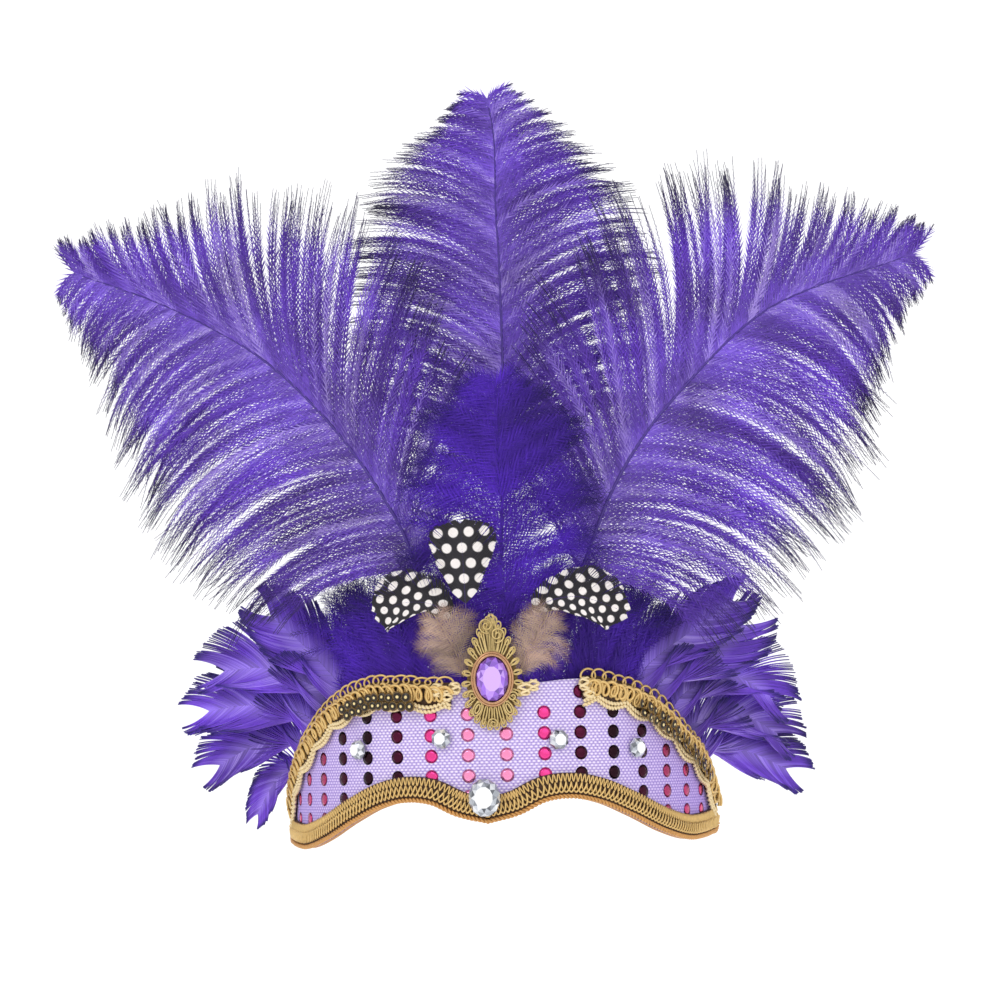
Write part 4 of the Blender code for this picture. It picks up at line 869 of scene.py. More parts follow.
def bronze_cups():
    """Bronze sequins: dark metallised film, pale at the middle, with a painted highlight on the
    rim.
    """
    material, tree, shader = new_material("bronze_metallised_film")
    rim = add(tree, "ShaderNodeAttribute", {"attribute_name": "rim"})
    # Pale at the middle, dark film between, and a painted highlight round the rim
    ramp = add(tree, "ShaderNodeValToRGB", {"stops": (
        (0.20, "#e8d294"), (0.34, "#1a1008"), (0.72, "#24180c"), (1.00, "#9a7c46"))},
        {"Fac": rim.outputs["Fac"]})
    place = add(tree, "ShaderNodeTexCoord")
    patches = add(tree, "ShaderNodeTexNoise", inputs={
        "Vector": place.outputs["Object"], "Scale": WORN_PATCHES, "Detail": 1.0})
    worn_film = add(tree, "ShaderNodeMapRange", inputs={
        "Value": patches.outputs[0], "To Min": 0.6, "To Max": 1.4})
    varied = add(tree, "ShaderNodeHueSaturation", inputs={
        "Color": ramp.outputs[0], "Value": worn_film.outputs[0]})
    tree.links.new(varied.outputs[0], shader.inputs["Base Color"])
    shader.inputs["Metallic"].default_value = 0.35
    shader.inputs["Roughness"].default_value = 0.24
    return material


KNIT = knitted_cloth()
FOIL = foil_dots()
AMETHYST = cut_acrylic("amethyst_acrylic_stone", "#3b1a6e", "#9a62e0", "#dcb6f8")
CLEAR = cut_acrylic("clear_acrylic_stone", "#42464e", "#b4b9c2", "#ffffff")
BRONZE = bronze_cups()


# The band

CLOTH_COLUMNS = 260
CLOTH_ROWS = 36


def crown_cloth():
    """The cloth wall, fine enough to follow the wavy edge, with its own flat coordinates."""
    columns, rows = CLOTH_COLUMNS, CLOTH_ROWS
    arcs = arc_at(np.linspace(-BAND_END_ANGLE, BAND_END_ANGLE, columns + 1))
    low, high = np.interp(arcs, ARCS, LOWER_EDGE), np.interp(arcs, ARCS, UPPER_EDGE)
    share = np.linspace(0.0, 1.0, rows + 1)
    heights = low[:, None] + share[None, :] * (high - low)[:, None]
    spread = np.repeat(arcs[:, None], rows + 1, axis=1)
    shell = []
    for offset in (BAND_WALL, 0.0):
        shell.append(on_wall(spread, heights, np.full(spread.shape, offset)))
    count = (columns + 1) * (rows + 1)
    points = np.concatenate([layer.reshape(-1, 3) for layer in shell])
    faces, bound = [], []

    def spot(i, j, layer):
        return layer * count + i * (rows + 1) + j

    for i in range(columns):
        for j in range(rows):
            quad = (spot(i, j, 0), spot(i + 1, j, 0), spot(i + 1, j + 1, 0), spot(i, j + 1, 0))
            faces.append(quad)
            faces.append(tuple(k + count for k in reversed(quad)))
    for i in range(columns):
        for j in (0, rows):
            quad = (spot(i, j, 0), spot(i, j, 1), spot(i + 1, j, 1), spot(i + 1, j, 0))
            if j == 0:
                bound.append(len(faces))
            faces.append(quad if j == 0 else quad[::-1])
    for j in range(rows):
        for i in (0, columns):
            quad = (spot(i, j, 0), spot(i, j + 1, 0), spot(i, j + 1, 1), spot(i, j, 1))
            faces.append(quad if i == 0 else quad[::-1])
    mesh = bpy.data.meshes.new("crown_cloth")
    mesh.from_pydata(points.tolist(), [], faces)
    flat = np.stack([spread, heights, 0 * heights], axis=-1).reshape(-1, 3) * 1000
    attribute = mesh.attributes.new("cloth_mm", "FLOAT_VECTOR", "POINT")
    attribute.data.foreach_set("vector", np.concatenate([flat, flat]).ravel().astype(np.float32))
    mesh.materials.append(KNIT)
    mesh.materials.append(TAN_BINDING)
    for face in mesh.polygons:
        face.use_smooth = True
    for number in bound:
        mesh.polygons[number].material_index = 1
    cloth = bpy.data.objects.new("crown_cloth", mesh)
    scene.collection.objects.link(cloth)
    worn(cloth, "sequinned_cloth", "crown_band")
    return cloth


def disc(name, radius, dome, sides=16, rings=2):
    """A thin domed disc with a closed back, for foil dots and sequins."""
    bm = bmesh.new()
    top = bm.verts.new((0, 0, dome))
    loops = []
    for ring in range(1, rings + 1):
        reach = radius * ring / rings
        height = dome * (1 - (ring / rings) ** 2)
        loops.append([bm.verts.new((reach * math.cos(2 * math.pi * k / sides),
                                    reach * math.sin(2 * math.pi * k / sides), height))
                      for k in range(sides)])
    for k in range(sides):
        after = (k + 1) % sides
        bm.faces.new((top, loops[0][k], loops[0][after]))
        for near, far in zip(loops, loops[1:]):
            bm.faces.new((near[k], far[k], far[after], near[after]))
    bm.faces.new(list(reversed(loops[-1])))
    piece = from_mesh(name, bm, FOIL)
    reach = [math.hypot(v.co.x, v.co.y) / radius for v in piece.data.vertices]
    piece.data.attributes.new("rim", "FLOAT", "POINT").data.foreach_set("value", reach)
    return piece


# Foil dots stand in columns round the band. The lowest may reach a little under the lower
# braid's edge. Each column's tint goes from its bottom to its top on the scale of the foil's
# colours and its painted dark reflection, and the columns follow each other from the middle
# outwards
DOT_PITCH = 0.0082
DOT_RADIUS = 0.0028
DOT_DOME = 0.00025
DOT_LIFT = 0.00012
DOT_COLUMN_PITCH = 0.0154
DOT_COLUMN_SHIFT = 0.0004
DOT_COLUMNS_A_SIDE = 8
DOT_END_MARGIN = 0.012
DOT_UPPER_MARGIN = 0.002
DOT_TUCK = 0.0012
DotColumn = namedtuple("DotColumn", "top bottom")
DOT_COLUMNS = (
    DotColumn(0.06, 0.02),
    DotColumn(0.32, 0.30),
    DotColumn(0.68, 0.78),
    DotColumn(0.80, 0.79),
    DotColumn(0.79, 0.76),
    DotColumn(0.86, 0.94),
    DotColumn(0.92, 0.97),
    DotColumn(0.95, 1.00),
)


def foil_columns():
    """Columns of foil dots in changing colours, down to the edge of the lower braid."""
    spots, outward, beside, size, tint = [], [], [], [], []
    for number in range(-DOT_COLUMNS_A_SIDE, DOT_COLUMNS_A_SIDE):
        arc = (number + 0.5) * DOT_COLUMN_PITCH + DOT_COLUMN_SHIFT
        if abs(arc) > ARCS[-1] - DOT_END_MARGIN:
            continue
        column = DOT_COLUMNS[int(abs(number + 0.5))]
        low = float(np.interp(arc, ARCS, LOWER_EDGE)) + LOWER_BRAID_WIDTH
        high = float(np.interp(arc, ARCS, UPPER_EDGE)) - DOT_UPPER_MARGIN
        first = math.ceil((low - DOT_TUCK) / DOT_PITCH)
        last = math.floor((high - DOT_RADIUS) / DOT_PITCH)
        for row in range(first, last + 1):
            height = row * DOT_PITCH
            share = (height - low) / max(high - low, 1e-6)
            spots.append(on_wall(arc, height, BAND_WALL + DOT_LIFT))
            outward.append(wall_out(arc))
            beside.append(np.cross((0, 0, 1), wall_out(arc)))
            size.append(1.0)
            tint.append(column.bottom + (column.top - column.bottom) * share)
    points = polylines("foil_points", [np.array([s]) for s in spots],
                       outward=[np.array(outward)], beside=[np.array(beside)],
                       size=[np.array(size)], tint=[np.array(tint)])
    item = disc("foil_disc", DOT_RADIUS, DOT_DOME)
    dots = grown("foil_dots", points, PLACING_TREE, {"Item": item, "Size": 1.0, "Material": FOIL})
    bpy.data.objects.remove(item)
    return worn(dots, "sequinned_cloth")


# Braids and sequins

def cord(name, path, thickness, material, sides=6, taper=None):
    """A round cord or wire along one or several lines."""
    lines = path if isinstance(path, list) else [path]
    widths = taper if taper is not None else [np.ones(len(line)) for line in lines]
    source = polylines(name + "_line", lines, taper=widths)
    return grown(name, source, TUBE_TREE,
                 {"Thickness": thickness, "Sides": sides, "Material": material})


def rope(edge, inwards, span, across, lift, radius, pitch, strands, step):
    """Lines of a twisted cord's strands along a trim."""
    arc = np.arange(span[0], span[1], step)
    lines = []
    for strand in range(strands):
        turn = 2 * math.pi * (arc / pitch + strand / strands)
        lines.append(on_trim(edge, inwards, arc, across + radius * np.cos(turn),
                             lift + radius * np.sin(turn)))
    return lines


def strip(name, edge, inwards, span, section, material, stations=320):
    """A closed strip along the band's edge: the section's points are across and lift."""
    arcs = np.linspace(span[0], span[1], stations + 1)
    rings = [on_trim(edge, inwards, arcs, np.full(arcs.shape, across), lift)
             for across, lift in section]
    bm = bmesh.new()
    loops = [[bm.verts.new(rings[k][i]) for k in range(len(section))]
             for i in range(stations + 1)]
    for near, far in zip(loops, loops[1:]):
        for k in range(len(section)):
            after = (k + 1) % len(section)
            bm.faces.new((near[k], near[after], far[after], far[k]))
    bm.faces.new(loops[0])
    bm.faces.new(loops[-1])
    return from_mesh(name, bm, material)


# The lower braid from the band's edge upwards: a twisted edge cord, a cord in chevrons, and a
# cord in close ribs, on a dark ground. Each winds with a pitch and a reach across the braid
# about its middle, lies at a lift, has a thickness, takes steps along the arc, and stops at an
# inset from the band's ends
BraidCord = namedtuple("BraidCord", "middle reach pitch lift thickness step inset")
EDGE_CORD = BraidCord(0.0006, 0.0005, 0.0032, 0.0012, 0.00115, 0.00035, 0.0)
CHEVRON_CORD = BraidCord(0.0043, 0.0024, 0.0038, 0.0017, 0.00085, 0.00022, 0.0010)
RIB_CORD = BraidCord(0.0081, 0.0016, 0.0015, 0.0016, 0.0007, 0.00016, 0.0006)
LOWER_GROUND = (
    (0.0, 0.0), (0.0, 0.0008), (0.0003, 0.0012), (0.0096, 0.0012), (0.0100, 0.0008), (0.0100, 0.0),
)
CHEVRON_CROSSING = 0.0004
CHEVRON_SHARPNESS = 0.97


def lower_braid():
    span = (arc_at(-BAND_END_ANGLE), arc_at(BAND_END_ANGLE))
    ground = strip("lower_braid_ground", LOWER_EDGE, 1, span, LOWER_GROUND, BROWN_GROUND)
    worn(ground, "gold_braid", "lower_braid")
    kind = EDGE_CORD
    lines = rope(LOWER_EDGE, 1, span, kind.middle, kind.lift, kind.reach, kind.pitch, 2, kind.step)
    worn(cord("lower_braid_edge_cord", lines, kind.thickness, OLD_GIMP), "gold_braid")
    kind = CHEVRON_CORD
    arc = np.arange(span[0] + kind.inset, span[1] - kind.inset, kind.step)
    lines = []
    for phase in (0.0, 0.5):
        turn = 2 * math.pi * (arc / kind.pitch + phase)
        zigzag = np.arcsin(CHEVRON_SHARPNESS * np.sin(turn)) / (math.pi / 2)
        sway = CHEVRON_CROSSING * np.cos(turn)
        lines.append(on_trim(LOWER_EDGE, 1, arc + sway, kind.middle + kind.reach * zigzag,
                             kind.lift + sway))
    worn(cord("lower_braid_chevrons", lines, kind.thickness, PALE_GIMP, 5), "gold_braid")
    kind = RIB_CORD
    arc = np.arange(span[0] + kind.inset, span[1] - kind.inset, kind.step)
    turn = 2 * math.pi * arc / kind.pitch
    rib = on_trim(LOWER_EDGE, 1, arc, kind.middle + kind.reach * np.sin(turn),
                  kind.lift + 0 * arc)
    worn(cord("lower_braid_cords", rib, kind.thickness, PALE_GIMP, 4), "gold_braid")


# The upper braid from the band's edge downwards: open loops over the edge, two coiling cords as
# wide as the braid, and two cream cords in scallops
LOOP_PITCH = 0.0048
LOOP_POINTS = 20
LOOP_SIZES = (0.75, 1.15)
LOOP_REACH = 0.0019
LOOP_OVERLAP = 0.0021
LOOP_CORD = 0.00095
LOOP_MIDDLE = 0.0002
LOOP_LIFT = 0.0012
LOOP_RISE = 0.0005
Coil = namedtuple("Coil", "pitch sway lift")
COILS = (Coil(0.0031, 0.0016, 0.0019), Coil(0.0043, 0.0022, 0.0027))
COIL_END = 0.001
COIL_RISE = 0.0007
COIL_POINTS = 14
COIL_REACHES = (0.0023, 0.0034)
COIL_MIDDLES = (0.0030, 0.0040)
COIL_CORD = 0.0012
SCALLOP_STEP = 0.0004
SCALLOP_TWIST = 0.0016
SCALLOP_CORD = 0.0013
ScallopCord = namedtuple("ScallopCord", "across depth lift sway")
SCALLOP_CORDS = (
    ScallopCord(0.0068, 0.0022, 0.0016, 0.0004),
    ScallopCord(0.0082, 0.0026, 0.0014, -0.0004),
)
UPPER_GROUND = (
    (-0.0012, 0.0), (-0.0012, 0.0006), (0.0004, 0.0012), (0.0072, 0.0012), (0.0084, 0.0006),
    (0.0084, 0.0),
)


def upper_braid(name, span, node):
    first, last = arc_at(span[0]), arc_at(span[1])
    ground = strip(name + "_ground", UPPER_EDGE, -1, (first, last), UPPER_GROUND, BROWN_GROUND,
                   160)
    worn(ground, "gold_braid", node)
    rng = np.random.default_rng(7)
    loops = round((last - first) / LOOP_PITCH)
    t = np.linspace(0.0, loops, loops * LOOP_POINTS)
    arc = first + (last - first) * t / loops
    turn = 2 * math.pi * t
    reach = np.interp(t, np.arange(loops + 1), rng.uniform(*LOOP_SIZES, loops + 1))
    ring = on_trim(UPPER_EDGE, -1, arc - LOOP_OVERLAP * np.sin(turn),
                   LOOP_MIDDLE - LOOP_REACH * reach * (1 - np.cos(turn)),
                   LOOP_LIFT + LOOP_RISE * np.sin(turn))
    worn(cord(name + "_loops", ring, LOOP_CORD, PALE_GIMP, 5), "gold_braid")
    # Two gimp cords wound over each other, as wide as the braid, with uneven turns
    lines = []
    for coil in COILS:
        turns = round((last - first) / coil.pitch)
        t = np.linspace(0.0, turns, turns * COIL_POINTS)
        arc = first + COIL_END + (last - first - 2 * COIL_END) * t / turns
        turn = 2 * math.pi * t
        wide = np.interp(t, np.arange(turns + 1), rng.uniform(*COIL_REACHES, turns + 1))
        middle = np.interp(t, np.arange(turns + 1), rng.uniform(*COIL_MIDDLES, turns + 1))
        lines.append(on_trim(UPPER_EDGE, -1, arc + coil.sway * np.cos(turn),
                             middle + wide * np.sin(turn),
                             coil.lift + COIL_RISE * np.cos(turn + 1.0)))
    worn(cord(name + "_coils", lines, COIL_CORD, PALE_GIMP, 6), "gold_braid")
    arc = np.arange(first, last, SCALLOP_STEP)
    wave = np.abs(np.sin(math.pi * arc / SCALLOP_PITCH))
    turn = 2 * math.pi * arc / SCALLOP_TWIST
    lines = [on_trim(UPPER_EDGE, -1, arc, row.across + row.depth * wave + row.sway * np.sin(turn),
                     row.lift + row.sway * np.cos(turn)) for row in SCALLOP_CORDS]
    worn(cord(name + "_scallops", lines, SCALLOP_CORD, CREAM_GIMP, 6), "gold_braid")


SEQUIN_RADIUS = 0.0021
SEQUIN_DOME = 0.0006
SEQUIN_PITCH = 0.0038
SEQUIN_ROWS = (0.0056, 0.0088)
SEQUIN_LIFT = 0.0042
SEQUIN_LAP = 0.0004
# How the sequins vary: stray along and across the row, lean along the row and its spread, the
# spread of their nod up or down, and size
SEQUIN_STRAYS = (0.0003, 0.0005)
SEQUIN_LEAN = (0.15, 0.12)
SEQUIN_NOD = 0.15
SEQUIN_SIZES = (0.92, 1.08)


def sequin_row(name, span, node):
    """Domed sequins in two overlapping rows, each tilted its own way."""
    first, last = arc_at(span[0]), arc_at(span[1])
    rng = np.random.default_rng(11)
    spots, outward, beside, size = [], [], [], []
    for row, across in enumerate(SEQUIN_ROWS):
        arcs = np.arange(first + SEQUIN_PITCH / 2 * row, last, SEQUIN_PITCH)
        for k, arc in enumerate(arcs):
            arc = np.array(arc + rng.uniform(-SEQUIN_STRAYS[0], SEQUIN_STRAYS[0]))
            down = across + rng.uniform(-SEQUIN_STRAYS[1], SEQUIN_STRAYS[1])
            spot = on_trim(UPPER_EDGE, -1, arc, down, SEQUIN_LIFT + SEQUIN_LAP * (k % 2))
            out = wall_out(arc)
            side = np.cross((0, 0, 1), out)
            lean = out + side * rng.normal(*SEQUIN_LEAN)
            lean = lean + np.array((0, 0, rng.normal(0.0, SEQUIN_NOD)))
            spots.append(spot)
            outward.append(lean / np.linalg.norm(lean))
            beside.append(side)
            size.append(rng.uniform(*SEQUIN_SIZES))
    points = polylines(name + "_points", [np.array([s]) for s in spots],
                       outward=[np.array(outward)], beside=[np.array(beside)],
                       size=[np.array(size)])
    item = disc(name + "_cup", SEQUIN_RADIUS, SEQUIN_DOME, sides=14, rings=4)
    cups = grown(name, points, PLACING_TREE, {"Item": item, "Size": 1.0, "Material": BRONZE})
    bpy.data.objects.remove(item)
    return worn(cups, "bronze_sequins", node)


# Medallion and stones

def plate_frame(angle, height, offset):
    arc = arc_at(angle)
    outward = wall_out(arc)
    up = np.array((0.0, 0.0, 1.0))
    return on_wall(arc, height, offset), np.cross(up, outward), up, outward


def in_plate(plate, across, up, out):
    origin, right, rise, outward = plate
    return (origin + np.expand_dims(across, -1) * right + np.expand_dims(up, -1) * rise
            + np.expand_dims(out, -1) * outward)


def taper_of(turn):
    return np.sin(turn) * np.abs(np.sin(turn / 2)) ** MEDALLION_TAPER


FULLEST_TAPER = taper_of(np.linspace(0.0, math.pi, 61)).max()


def teardrop(turn, grow):
    share = taper_of(turn) / FULLEST_TAPER
    return share * (MEDALLION_WIDTH / 2 + grow), np.cos(turn) * (MEDALLION_HEIGHT / 2 + grow)


MEDALLION_SIDES = 72
# The dark plate's levels: out from the band, and how much wider than the medallion's outline
MEDALLION_LEVELS = ((0.0, -0.0016), (0.0007, -0.0016), (0.0009, -0.0020))


def medallion_back(plate):
    """The thin dark plate that carries the filigree, set in from its edge."""
    bm = bmesh.new()
    sides = MEDALLION_SIDES
    loops = []
    for out, grow in MEDALLION_LEVELS:
        x, z = teardrop(np.linspace(0.0, 2 * math.pi, sides + 1)[:-1], grow)
        loops.append([bm.verts.new(spot) for spot in in_plate(plate, x, z, np.full(sides, out))])
    for near, far in zip(loops, loops[1:]):
        for k in range(sides):
            after = (k + 1) % sides
            bm.faces.new((near[k], near[after], far[after], far[k]))
    bm.faces.new(loops[0])
    bm.faces.new(loops[-1])
    return worn(from_mesh("medallion_back", bm, DARK_GILT, False), "gilt_metal", "medallion")


def filigree_loop(plate, centre, direction, long, wide, out):
    """One long wire loop that lies on the plate."""
    turn = np.linspace(0.0, 2 * math.pi, 15)
    side = np.array((-direction[1], direction[0]))
    spots = (centre[None, :] + direction[None, :] * (long * np.cos(turn))[:, None]
             + side[None, :] * (wide * np.sin(turn))[:, None])
    return in_plate(plate, spots[:, 0], spots[:, 1], np.full(len(turn), out))


# The filigree's rays, and how far its wires lie out from the band's cloth
RAYS = 30
BEZEL_MARGIN = 0.0022
LEAST_GAP = 0.0022
WireLoop = namedtuple("WireLoop", "long wide out")
EDGE_LOOP = WireLoop(0.0017, 0.0010, 0.0014)
EDGE_LOOP_INSET = 0.0013
# A ray's long loop is sized by the gap from the bezel to the edge
RAY_MIDDLE = 0.42
RAY_LENGTH = 0.50
RAY_WIDTH = 0.0006
RAY_OUT = 0.0017
FILIGREE_WIRE = 0.00075
SCROLL_START = 0.0004
SCROLL_OUT = 0.0023
# Spirals of wire: across and above the medallion's middle, the way they wind, half turns, how
# far they open, and points
Scroll = namedtuple("Scroll", "across height sense half_turns reach points")
SCROLLS = (
    Scroll(-0.0019, MEDALLION_HEIGHT / 2 - 0.0042, 1, 3.6, 0.0028, 48),
    Scroll(0.0024, MEDALLION_HEIGHT / 2 - 0.0080, -1, 3.6, 0.0028, 48),
    Scroll(-0.00798, -0.0093, 1, 3.0, 0.0017, 36),
    Scroll(0.00798, -0.0100, -1, 3.0, 0.0017, 36),
    Scroll(0.0, -0.0205, 1, 3.0, 0.0017, 36),
)
# The two eyelets near the foot: where they stand, how they lean, and their two loops
EYELET_PLACE = (0.0062, -0.0146)
EYELET_LEAN = 24.0
EYELET_LOOPS = ((0.0030, 0.0016), (0.0019, 0.0008))
EYELET_OUT = 0.0021
# The bezel's two wires: how far outside the stone, and out from the cloth
BEZEL_WIRES = ((0.0006, 0.0030), (0.0015, 0.0022))
BEZEL_WIRE = 0.0013


def medallion_wires():
    """Filigree: rays round the bezel, loops round the edge, scrolls and eyelets."""
    plate = plate_frame(MEDALLION_TILT_ANGLE, MEDALLION_CENTRE_HEIGHT, BAND_WALL + CLEARANCE)
    medallion_back(plate)
    drop = OVAL_STONE_HEIGHT - MEDALLION_CENTRE_HEIGHT
    middle = np.array((0.0, drop))
    lines = []
    for number in range(RAYS):
        turn = 2 * math.pi * (number + 0.5) / RAYS
        edge = np.array(teardrop(np.array(turn), 0.0))
        ray = edge - middle
        reach = np.linalg.norm(ray)
        ray = ray / reach
        stone_reach = 1 / math.hypot(ray[0] / (OVAL_STONE[0] / 2 + BEZEL_MARGIN),
                                     ray[1] / (OVAL_STONE[1] / 2 + BEZEL_MARGIN))
        gap = reach - stone_reach
        lines.append(filigree_loop(plate, middle + ray * (reach - EDGE_LOOP_INSET), ray,
                                   *EDGE_LOOP))
        if gap > LEAST_GAP:
            lines.append(filigree_loop(plate, middle + ray * (stone_reach + RAY_MIDDLE * gap), ray,
                                       RAY_LENGTH * gap, RAY_WIDTH, RAY_OUT))
    for scroll in SCROLLS:
        turn = np.linspace(0.0, scroll.half_turns * math.pi, scroll.points)
        reach = SCROLL_START + scroll.reach * turn / turn[-1]
        lines.append(in_plate(plate, scroll.across + scroll.sense * reach * np.cos(turn),
                              scroll.height + reach * np.sin(turn),
                              np.full(len(turn), SCROLL_OUT)))
    for side in (-1, 1):
        lean = math.radians(EYELET_LEAN)
        direction = np.array((-side * math.sin(lean), math.cos(lean)))
        centre = np.array((side * EYELET_PLACE[0], EYELET_PLACE[1]))
        for long, wide in EYELET_LOOPS:
            lines.append(filigree_loop(plate, centre, direction, long, wide, EYELET_OUT))
    wires = cord("medallion_filigree", lines, FILIGREE_WIRE, GILT_WIRE, 5)
    worn(wires, "gilt_metal")
    turn = np.linspace(0.0, 2 * math.pi, 80)
    rims = []
    for margin, out in BEZEL_WIRES:
        rims.append(in_plate(plate, (OVAL_STONE[0] / 2 + margin) * np.sin(turn),
                             (OVAL_STONE[1] / 2 + margin) * np.cos(turn) + drop,
                             np.full(len(turn), out)))
    return worn(cord("medallion_bezel", rims, BEZEL_WIRE, BEZEL_GILT, 8), "gilt_metal")


# Lumps of gold bead and gimp beside the medallion and at the ends of the upper braids: angle
# on the band, distance below its upper edge, and size
Knot = namedtuple("Knot", "angle drop size")
BRAID_KNOTS = (
    Knot(-7.5, 0.0012, 0.0024), Knot(-9.5, 0.0042, 0.0022), Knot(-12.0, 0.0020, 0.0026),
    Knot(9.8, 0.0022, 0.0026), Knot(12.2, 0.0010, 0.0022), Knot(25.5, 0.0022, 0.0026),
    Knot(26.5, 0.0058, 0.0022),
)


KNOT_CORD = 0.0011
KNOT_LIFT = 0.0012
KNOT_POINTS = 60
KNOT_WINDINGS = 5


def braid_knots():
    """Tangled balls of gimp cord, each wound round a flattened sphere."""
    lines = []
    for number, knot in enumerate(BRAID_KNOTS):
        t = np.linspace(0.0, 2 * math.pi, KNOT_POINTS)
        height = float(np.interp(knot.angle, ANGLES, UPPER_EDGE)) - knot.drop
        plate = plate_frame(knot.angle, height, BAND_WALL + CLEARANCE + KNOT_LIFT)
        latitude = np.sin(2 * t + number)
        reach = np.sqrt(1 - 0.8 * latitude ** 2)
        lines.append(in_plate(plate, knot.size * reach * np.cos(KNOT_WINDINGS * t),
                              knot.size * latitude * 0.9,
                              0.0006 + 0.45 * knot.size * reach * np.sin(KNOT_WINDINGS * t)))
    return worn(cord("braid_knots", lines, KNOT_CORD, CREAM_GIMP, 6), "gold_braid")


StoneLevel = namedtuple("StoneLevel", "scale out shift")
STONE_LEVELS = (
    StoneLevel(0.80, 0.00, 0.0),
    StoneLevel(1.00, 0.28, 0.5),
    StoneLevel(0.98, 0.40, 0.5),
    StoneLevel(0.80, 0.74, 0.0),
    StoneLevel(0.56, 1.00, 0.5),
)


# Painted reflections on a stone's facets, on the scale of its colours: the table's, and the range
# of the rest
TABLE_REFLECTION = 0.68
FACET_REFLECTIONS = (0.0, 0.62)


def stone(name, angle, height, seat, size, sides, material, slot):
    """A cut stone: table, star and crown facets, girdle and flat back."""
    plate = plate_frame(angle, height, seat)
    bm = bmesh.new()
    for level in STONE_LEVELS:
        for number in range(sides):
            turn = 2 * math.pi * (number + level.shift) / sides
            bm.verts.new(in_plate(
                plate, np.array(level.scale * size[0] / 2 * math.sin(turn)),
                np.array(level.scale * size[1] / 2 * math.cos(turn)),
                np.array(level.out * size[2])))
    bmesh.ops.convex_hull(bm, input=bm.verts)
    piece = from_mesh(name + "_cut", bm, material, False)
    rng = np.random.default_rng(sides + int(1000 * size[1]))
    outward = Vector(plate[3])
    # Painted reflections on the facets: the table a fixed light one, the others a random shade from
    # dark to light
    facets = [TABLE_REFLECTION if face.normal.dot(outward) > 0.97 else rng.uniform(*FACET_REFLECTIONS)
              for face in piece.data.polygons]
    piece.data.attributes.new("facet", "FLOAT", "FACE").data.foreach_set("value", facets)
    return worn(piece, slot, name)


def stones():
    seat = BAND_WALL + 2 * CLEARANCE + MEDALLION_PLATE
    stone("oval_stone", MEDALLION_TILT_ANGLE, OVAL_STONE_HEIGHT, seat, OVAL_STONE, 12,
          AMETHYST, "amethyst_stone")
    seat = BAND_WALL + 2 * CLEARANCE + LOWER_BRAID_THICKNESS
    stone("peak_stone", PEAK_STONE_ANGLE, PEAK_STONE_HEIGHT, seat, PEAK_STONE, 12, CLEAR,
          "clear_stone")
    for number, place in enumerate(ROUND_STONES, start=1):
        stone(f"round_stone_{number}", place.angle * BAND_END_ANGLE, place.height * BAND_RISE,
              BAND_WALL + CLEARANCE, ROUND_STONE, 8, CLEAR, "clear_stone")


# Feathers

QUILL_POINTS = 40
QUILL_LOSS = 0.72


def quill(name, shaft, radius, last, material, slot):
    """The shaft itself, tapering to its tip."""
    share = np.linspace(0.0, last, QUILL_POINTS)
    piece = cord(name, shaft.point(share), 2 * radius, material, 8, [1.0 - QUILL_LOSS * share])
    return worn(piece, slot)


# Down: thickness of a barb, and pitch, length, width and angle of its barbules, in metres and
# radians
Down = namedtuple("Down", "barb pitch length width angle")
PLUME_DOWN = Down(0.00042, 0.00120, 0.0052, 0.00054, 0.50)
MARABOU_DOWN = Down(0.00030, 0.00100, 0.0065, 0.00040, 0.70)
SMOOTH_DOWN = Down(0.00105, 0.0040, 0.0008, 0.00020, 0.45)
GUINEA_DOWN = Down(0.00070, 0.0040, 0.0006, 0.00020, 0.45)
TAN_DOWN = Down(0.00020, 0.00060, 0.0050, 0.00022, 0.8)

# Kinds of feather: how the barbs grow, their down, material and slot, how deep the quill is
# tucked in behind the band, its radius in the solids, the share of that radius that the shown
# quill has (none where down hides it), and the share of the shaft that it reaches
Kind = namedtuple("Kind", "growth down material slot tuck quill quill_share quill_last")
PLUME = Kind(PLUME_GROWTH, PLUME_DOWN, PLUME_BARBS, "ostrich_plume", QUILL_TUCK,
             PLUME_QUILL, 0.6, 0.985)
MARABOU = Kind(MARABOU_GROWTH, MARABOU_DOWN, MARABOU_BARBS, "marabou", QUILL_TUCK,
               MARABOU_QUILL, 0.0, 0.0)
FRINGE = MARABOU._replace(growth=FRINGE_GROWTH, tuck=MARABOU_FRINGE_TUCK)
GUINEA = Kind(GUINEA_GROWTH, GUINEA_DOWN, GUINEA_BARBS, "guinea_feather", QUILL_TUCK,
              GUINEA_QUILL, 0.7, 0.98)
TAN = Kind(TAN_GROWTH, TAN_DOWN, TAN_BARBS, "tan_down", QUILL_TUCK, TAN_FLUFF_QUILL, 0.0, 0.0)
SMOOTH = Kind(SMOOTH_GROWTH, SMOOTH_DOWN, SMOOTH_BARBS, "smooth_feather", SIDE_FEATHER_TUCK,
              SIDE_FEATHER_QUILL, 0.6, 0.97)

# Feathers on a shaft of their own: kind, angle of the root on the band, side that the route
# leans to, reach, route, where the vane starts, its two halves, longest barb, seed, and the
# pitch of its dots in millimetres
FreeFeather = namedtuple(
    "FreeFeather", "node part kind angle side reach route vane_from halves barb seed dot_pitch")
TALL_FEATHERS = (
    FreeFeather("plume_left", "barbs", PLUME, -10.5, -1, SIDE_PLUME_REACH, PLUME_LEFT_ROUTE,
                0.23, (OUTER_VANE, INNER_VANE), 0.080, 20, None),
    FreeFeather("plume_right", "barbs", PLUME, 13.5, 1, SIDE_PLUME_REACH, PLUME_RIGHT_ROUTE,
                0.23, (INNER_VANE, OUTER_VANE), 0.080, 21, None),
    FreeFeather("plume_centre", "barbs", PLUME, 3.3, 1, CENTRE_PLUME_REACH, PLUME_CENTRE_ROUTE,
                0.36, (CENTRE_VANE, CENTRE_VANE), 0.068, 22, None),
    FreeFeather("marabou_centre", "down", MARABOU, 6.2, 1, MARABOU_REACH, MARABOU_ROUTE,
                0.30, (MARABOU_VANE, MARABOU_VANE), 0.042, 30, None),
)
